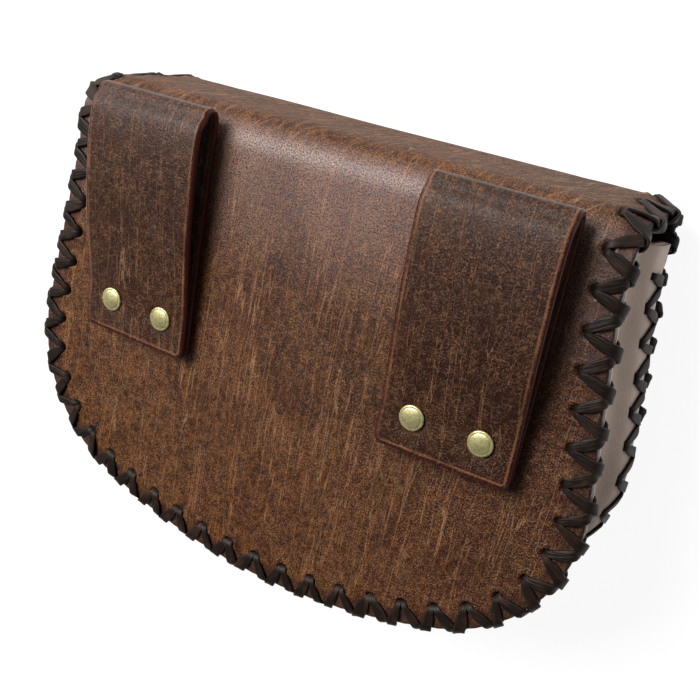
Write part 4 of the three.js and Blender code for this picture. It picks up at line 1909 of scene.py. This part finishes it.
    def stained_and_shaded(self, g: Graph, m: Marks) -> Socket:
        """The leather's colour: slow tones, mottling and warmth, painted shade towards the right
        side, then fine blotches.

        Args:
            g: the material's graph.
            m: the shared values.

        Returns:
            The colour.
        """
        across, length = g.part(m.skin, "X"), g.part(m.skin, "Y")
        lower = (0.0 - length - self.low_left_slant * across).step(*self.low_left)
        colour = g.blend(m.tone.step(*self.middle_step), self.dark, self.middle)
        mottle = g.noise(m.skin, self.mottle_noise).step(*self.olive_step)
        colour = g.blend(mottle * self.olive_share, colour, self.olive)
        warmth = self.warm_rest + self.warm_low * lower + self.warm_top * m.top
        colour = g.blend((m.patch.step(*self.warm_step) * warmth).share(), colour, self.warm)
        # painted shade: darker towards the right side, on top of the finish's own darker tone
        shaded = self.shade + self.right_shade * across.step(*self.right_side)
        colour = g.blend(shaded, colour, self.dark)
        dark_blotch = m.blotch.step(*self.blotch_dark_step) * self.blotch_dark
        colour = g.blend(dark_blotch, colour, self.dark)
        warm_blotch = self.blotch_warm - self.shade_cools * self.shade
        return g.blend(m.blotch.step(*self.blotch_warm_step) * warm_blotch, colour, self.warm)

    def worn(self, g: Graph, m: Marks, colour: Socket) -> Socket:
        """Painted sheen and wear over the leather's colour: the painted sheen band, scratches, veins
        and specks.

        Args:
            g: the material's graph.
            m: the shared values.
            colour: the colour under the wear.

        Returns:
            The colour.
        """
        # painted sheen: the base colour lightened along the start of the top fold
        painted_sheen = m.sheen_band * (self.sheen_share + self.sheen_share * m.tone.step(*self.sheen_step))
        colour = g.blend(painted_sheen, colour, self.painted_sheen)
        broken = m.patch.step(*self.scratch_step).above(self.scratch_rest)
        colour = g.blend(m.line * self.scratches * broken, colour, self.scratch)
        colour = g.blend(m.vein * m.blotch.step(*self.vein_step) * self.veins, colour, self.scratch)
        dust = m.speck.step(*self.speck_step) * m.dusty.above(self.dust_rest)
        colour = g.blend(dust * self.specks, colour, self.speckle)
        return g.blend(m.speck.step(*self.speck_dark_step) * self.speck_dark, colour, self.dark)

    def make(self) -> bpy.types.Material:
        """Builds the material, with its edge either polished, with a pale crease line that is partly
        painted highlight, or dyed dark, with painted shade in the lace holes and in a margin that is
        partly dye.

        Returns:
            The material.
        """
        g = Graph(bpy.data.materials.new(self.name))
        m = self.marks(g)
        colour = self.worn(g, m, self.stained_and_shaded(g, m))
        grain = g.noise(m.skin, self.grain_noise)
        height = self.high_grain * grain + self.high_speck * m.speck + self.high_patch * m.patch
        height = height - self.low_line * m.line - self.low_vein * m.vein
        rough = self.rough_rest + self.rough_patch * m.patch + self.rough_speck * m.speck
        rough = rough + self.rough_top * m.top
        rim = g.level("rim")
        if self.polished_edge:
            polish = rim.step(*self.edge_polish)
            colour = g.blend(polish * self.polish_share, colour, self.edge)
            # pale crease line in the pressed band: a burnished crease and partly painted highlight
            pressed = rim.step(*self.pressed_start) * rim.step(*self.pressed_end)
            crease_highlight_mask = pressed * (self.crease_highlight_rest + self.crease_highlight_dusty * m.dusty)
            colour = g.blend(crease_highlight_mask, colour, self.crease_highlight)
            rough = rough - self.polish_gloss * polish
            height = height * (1.0 - self.polish_flat * polish)
        else:
            # darker margin between the lace strands: partly dye and partly painted shade
            colour = g.blend(rim.step(*self.margin_start) * self.margin_share, colour, self.margin)
            # dark dye on the cut edge and painted shade inside the lace holes
            dye_and_hole_shade_mask = (rim.step(*self.dyed_start) + g.level("hole")).share()
            colour = g.blend(dye_and_hole_shade_mask * self.dye_and_hole_shade_share, colour, self.edge_dye_and_hole_shade)
        coat = self.coat_rest + self.coat_broken * m.speck.step(*self.coat_step)
        return g.surface(
            Base_Color=colour,
            Roughness=rough,
            Normal=g.bump(height, self.bump_height),
            Specular_IOR_Level=self.specular,
            Coat_Weight=m.sheen_band * coat,
            Coat_Roughness=self.coat_rough,
        )


@dataclass(frozen=True)
class SmoothLeather:
    """Pale matt leather with a faint grain and soft smudges, darker towards the bottom."""

    name: str
    colour: Colour = linear(214, 192, 176)
    darker_tone: Colour = linear(116, 95, 83)
    soft_noise: Noise = Noise(75.0, 4.0, 0.65, along=0.8)
    grain_noise: Noise = Noise(1300.0, 2.0, 0.6)
    soft_step: tuple[float, float] = (0.2, 0.8)
    grain_step: tuple[float, float] = (0.55, 0.75)
    soft_share: float = 0.24
    grain_share: float = 0.25
    darkening_rest: float = 0.12
    darkening_low: float = 0.6
    low_end: tuple[float, float] = (0.03, -0.06)
    rough_rest: float = 0.55
    rough_grain: float = 0.15
    high_soft: float = 0.5
    bump_height: float = 0.00015

    def make(self) -> bpy.types.Material:
        """Builds the material.

        Returns:
            The material.
        """
        g = Graph(bpy.data.materials.new(self.name))
        skin = g.point("skin")
        soft = g.noise(skin, self.soft_noise)
        grain = g.noise(skin, self.grain_noise)
        upward = g.part(g.node("ShaderNodeTexCoord").outputs["Object"], "Y")
        # darker towards the bottom of the pouch
        low_darkening = self.darkening_rest + self.darkening_low * upward.step(*self.low_end)
        darkened = (soft.step(*self.soft_step) * self.soft_share + low_darkening).share()
        colour = g.blend(darkened, self.colour, self.darker_tone)
        colour = g.blend(grain.step(*self.grain_step) * self.grain_share, colour, self.darker_tone)
        return g.surface(
            Base_Color=colour,
            Roughness=self.rough_rest + self.rough_grain * grain,
            Normal=g.bump(grain + self.high_soft * soft, self.bump_height),
        )


@dataclass(frozen=True)
class LaceLeather:
    """Near-black brown lace: satin, with worn brown patches and fine lines along it."""

    name: str
    colour: Colour = linear(22, 13, 8)
    worn: Colour = linear(72, 47, 33)
    fibre_noise: Noise = Noise(1500.0, 2.0, 0.6, along=0.15)
    patch_noise: Noise = Noise(260.0, 2.0, 0.6)
    patch_step: tuple[float, float] = (0.45, 0.8)
    fibre_step: tuple[float, float] = (0.5, 0.8)
    patch_share: float = 0.45
    fibre_share: float = 0.25
    rough_rest: float = 0.4
    rough_patch: float = 0.25
    bump_height: float = 0.0003
    specular: float = 0.22

    def make(self) -> bpy.types.Material:
        """Builds the material.

        Returns:
            The material.
        """
        g = Graph(bpy.data.materials.new(self.name))
        skin = g.point("skin")
        fibre = g.noise(skin, self.fibre_noise)
        patch = g.noise(skin, self.patch_noise)
        patches = patch.step(*self.patch_step) * self.patch_share
        fibres = fibre.step(*self.fibre_step) * self.fibre_share
        return g.surface(
            Base_Color=g.blend(patches + fibres, self.colour, self.worn),
            Roughness=self.rough_rest + self.rough_patch * patch,
            Normal=g.bump(fibre + patch, self.bump_height),
            Specular_IOR_Level=self.specular,
        )


@dataclass(frozen=True)
class AntiqueBrass:
    """Dull yellow brass with dark mottling and a soft gloss."""

    name: str
    metal: Colour = linear(214, 205, 150)
    tarnish: Colour = linear(136, 124, 58)
    patch_noise: Noise = Noise(700.0, 3.0, 0.7)
    fleck_noise: Noise = Noise(1600.0, 2.0, 0.6)
    tarnish_step: tuple[float, float] = (0.4, 0.68)
    tarnish_share: float = 0.6
    metallic: float = 0.85
    rough_rest: float = 0.32
    rough_patch: float = 0.25
    bump_height: float = 0.00006

    def make(self) -> bpy.types.Material:
        """Builds the material.

        Returns:
            The material.
        """
        g = Graph(bpy.data.materials.new(self.name))
        place = g.node("ShaderNodeTexCoord").outputs["Object"]
        patch = g.noise(place, self.patch_noise)
        fleck = g.noise(place, self.fleck_noise)
        dull = patch.step(*self.tarnish_step) * self.tarnish_share
        return g.surface(
            Base_Color=g.blend(dull, self.metal, self.tarnish),
            Metallic=self.metallic,
            Roughness=self.rough_rest + self.rough_patch * patch,
            Normal=g.bump(fleck, self.bump_height),
        )


# Studio

@dataclass
class Studio:
    """Camera at the photo's place, a pale floor and soft light from above the pouch's top.

    Places and sizes are metres, the lens and the sensor millimetres, the power watts.
    """

    position: tuple[float, float, float] = (0.15150, 0.13043, 0.33920)
    right: tuple[float, float, float] = (0.8596, 0.1798, -0.4782)
    down: tuple[float, float, float] = (0.3197, -0.9194, 0.2290)
    lens: float = 48.55
    sensor_width: float = 36.0
    nearest: float = 0.01
    floor_half: float = 6.0
    floor_grey: float = 0.15
    floor_glow: float = 0.92
    sky: float = 0.11
    sky_band: tuple[float, float] = (0.02, 0.16)
    key_place: tuple[float, float, float] = (-0.62, 0.66, 1.05)
    key_target: tuple[float, float, float] = (0.0, 0.02, 0.05)
    key_size: float = 0.8
    key_power: float = 34.0

    def place_camera(self) -> None:
        """Adds the camera and makes it the scene's."""
        lens = bpy.data.cameras.new("camera")
        lens.sensor_width = self.sensor_width
        lens.lens = self.lens
        lens.clip_start = self.nearest
        camera = bpy.data.objects.new("camera", lens)
        bpy.context.scene.collection.objects.link(camera)
        bpy.context.scene.camera = camera
        right = Vector(self.right).normalized()
        up = -Vector(self.down).normalized()
        back = right.cross(up).normalized()
        up = back.cross(right)
        turn = Matrix((right, up, back)).transposed().to_4x4()
        camera.matrix_world = Matrix.Translation(self.position) @ turn

    def lay_floor(self) -> None:
        """Adds a wide matt floor under the pouch, bright enough to stay near white."""
        half = self.floor_half
        corners = [(-half, -half, 0.0), (half, -half, 0.0), (half, half, 0.0), (-half, half, 0.0)]
        mesh = bpy.data.meshes.new("floor")
        mesh.from_pydata(corners, [], [(0, 1, 2, 3)])
        floor = bpy.data.objects.new("floor", mesh)
        bpy.context.scene.collection.objects.link(floor)
        paper = Graph(bpy.data.materials.new("floor_paper")).surface(
            Base_Color=grey(self.floor_grey),
            Roughness=1.0,
            Specular_IOR_Level=0.0,
            Emission_Color=grey(1.0),
            Emission_Strength=self.floor_glow,
        )
        mesh.materials.append(paper)

    def add_softbox(self) -> None:
        """Adds the key light, a square softbox that faces its target."""
        light = bpy.data.lights.new("key", "AREA")
        light.size = self.key_size
        light.energy = self.key_power
        lamp = bpy.data.objects.new("key", light)
        bpy.context.scene.collection.objects.link(lamp)
        away = Vector(self.key_target) - Vector(self.key_place)
        turn = away.to_track_quat("-Z", "Y").to_matrix().to_4x4()
        lamp.matrix_world = Matrix.Translation(self.key_place) @ turn

    def light_up(self) -> None:
        """Sets the surroundings, white up to the horizon and grey above it, and the key."""
        world = bpy.data.worlds.new("studio_world")
        g = Graph(world)
        upward = g.part(g.node("ShaderNodeTexCoord").outputs["Generated"], "Z")
        low, high = self.sky_band
        stops = [(low, grey(1.0)), (high, grey(self.sky))]
        ramp = g.node("ShaderNodeValToRGB", {"stops": stops}, {"Fac": upward})
        around = g.node("ShaderNodeBackground", inputs={"Color": ramp.outputs["Color"]})
        g.node("ShaderNodeOutputWorld", inputs={"Surface": around.outputs["Background"]})
        bpy.context.scene.world = world
        self.add_softbox()
        bpy.context.scene.view_settings.view_transform = "Standard"


def pouch_origin(form: PouchForm) -> Array:
    """The pouch frame's origin in the part's frame, from the back lacing's box.

    The box's top stands a lace's height over the back, and its lowest y is the seam's
    bottom less the margin and the lace's height.

    Args:
        form: the pouch's form.

    Returns:
        The origin in millimetres.
    """
    stock = form.stock
    low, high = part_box("lacing_back")
    bottom = form.back.bottom_y - stock.margin - stock.binding
    return np.array([0.0, low[1] / MM - bottom, high[2] / MM - stock.binding])


def lacings(form: PouchForm, gusset: Gusset, origin: Array) -> list[CrossLacing]:
    """The three runs of lace.

    The back seam ends at the first hole of the top on both sides. The flap's run goes on
    from there round to the same hole on the left, and the front seam ends a hole lower.

    Args:
        form: the pouch's form.
        gusset: the gusset.
        origin: the pouch frame's origin.

    Returns:
        The back seam's, the flap's and the front seam's.
    """
    stock = form.stock
    top_hole = 18
    front_hole = 17
    whole = 2 * form.half_holes
    return [
        CrossLacing(
            "lace_back", ("lacing_back",), origin, stock, form,
            first=-top_hole, last=top_hole, thickness=stock.joined, seed=11,
        ),
        CrossLacing(
            "lace_flap", ("lacing_flap",), origin, stock, form,
            first=top_hole, last=whole - top_hole, thickness=stock.body, seed=23,
        ),
        CrossLacing(
            "lace_front", ("lacing_front",), origin, stock, gusset,
            first=-front_hole, last=front_hole, thickness=stock.joined, seed=37,
        ),
    ]


def main() -> None:
    """Makes the studio and every piece of the pouch."""
    logging.basicConfig(level=logging.INFO, format="%(name)s: %(message)s")
    studio = Studio()
    studio.place_camera()
    studio.lay_floor()
    studio.light_up()

    form = PouchForm()
    stock = form.stock
    origin = pouch_origin(form)
    log.info("origin of the pouch's frame, mm: %s", np.round(origin, 3).tolist())

    body_finish = AgedLeather("body_leather_aged").make()
    loop_finish = AgedLeather(
        "loop_leather_aged",
        scratches=0.5, veins=0.2, shade=0.58, specks=0.3, top_arcs=0.0, polished_edge=True,
    ).make()
    gusset_finish = SmoothLeather("gusset_leather_smooth").make()
    lace_finish = LaceLeather("lace_dark").make()
    brass_finish = AntiqueBrass("brass_antique").make()

    Wrap(form, origin).build(body_finish)
    gusset = Gusset(form, origin)
    gusset.build(gusset_finish)
    FrontPanel(gusset, origin).build(body_finish)
    for lacing in lacings(form, gusset, origin):
        lacing.build(lace_finish)

    left = BeltLoop(form, origin, side=-1, slip_low=0.5, slip_high=2.2)
    right = BeltLoop(form, origin, side=1)
    for name, loop in (("left", left), ("right", right)):
        loop.build(f"loop_{name}", f"belt_loop_{name}", loop_finish)
        rivet = Fastener(origin, loop.grip)
        for place, (x, y) in zip(("inner", "outer"), loop.rivet_places()):
            foot = loop.rivet_foot(x, y)
            rivet.build(f"rivet_cap_{name}_{place}", f"rivet_{name}_{place}", foot, brass_finish)

    stud_y = -22.0
    stud = Fastener(
        origin, grip=stock.body, cap_radius=6.5, cap_height=0.8 * stock.lace,
        shank_radius=2.0, base_radius=5.0, base_height=1.2,
    )
    stud_foot = np.array([0.0, stud_y, stock.body - form.flap_depth])
    stud.build("stud_cap", "press_stud", stud_foot, brass_finish, turned=True)


if __name__ == "__main__":
    main()
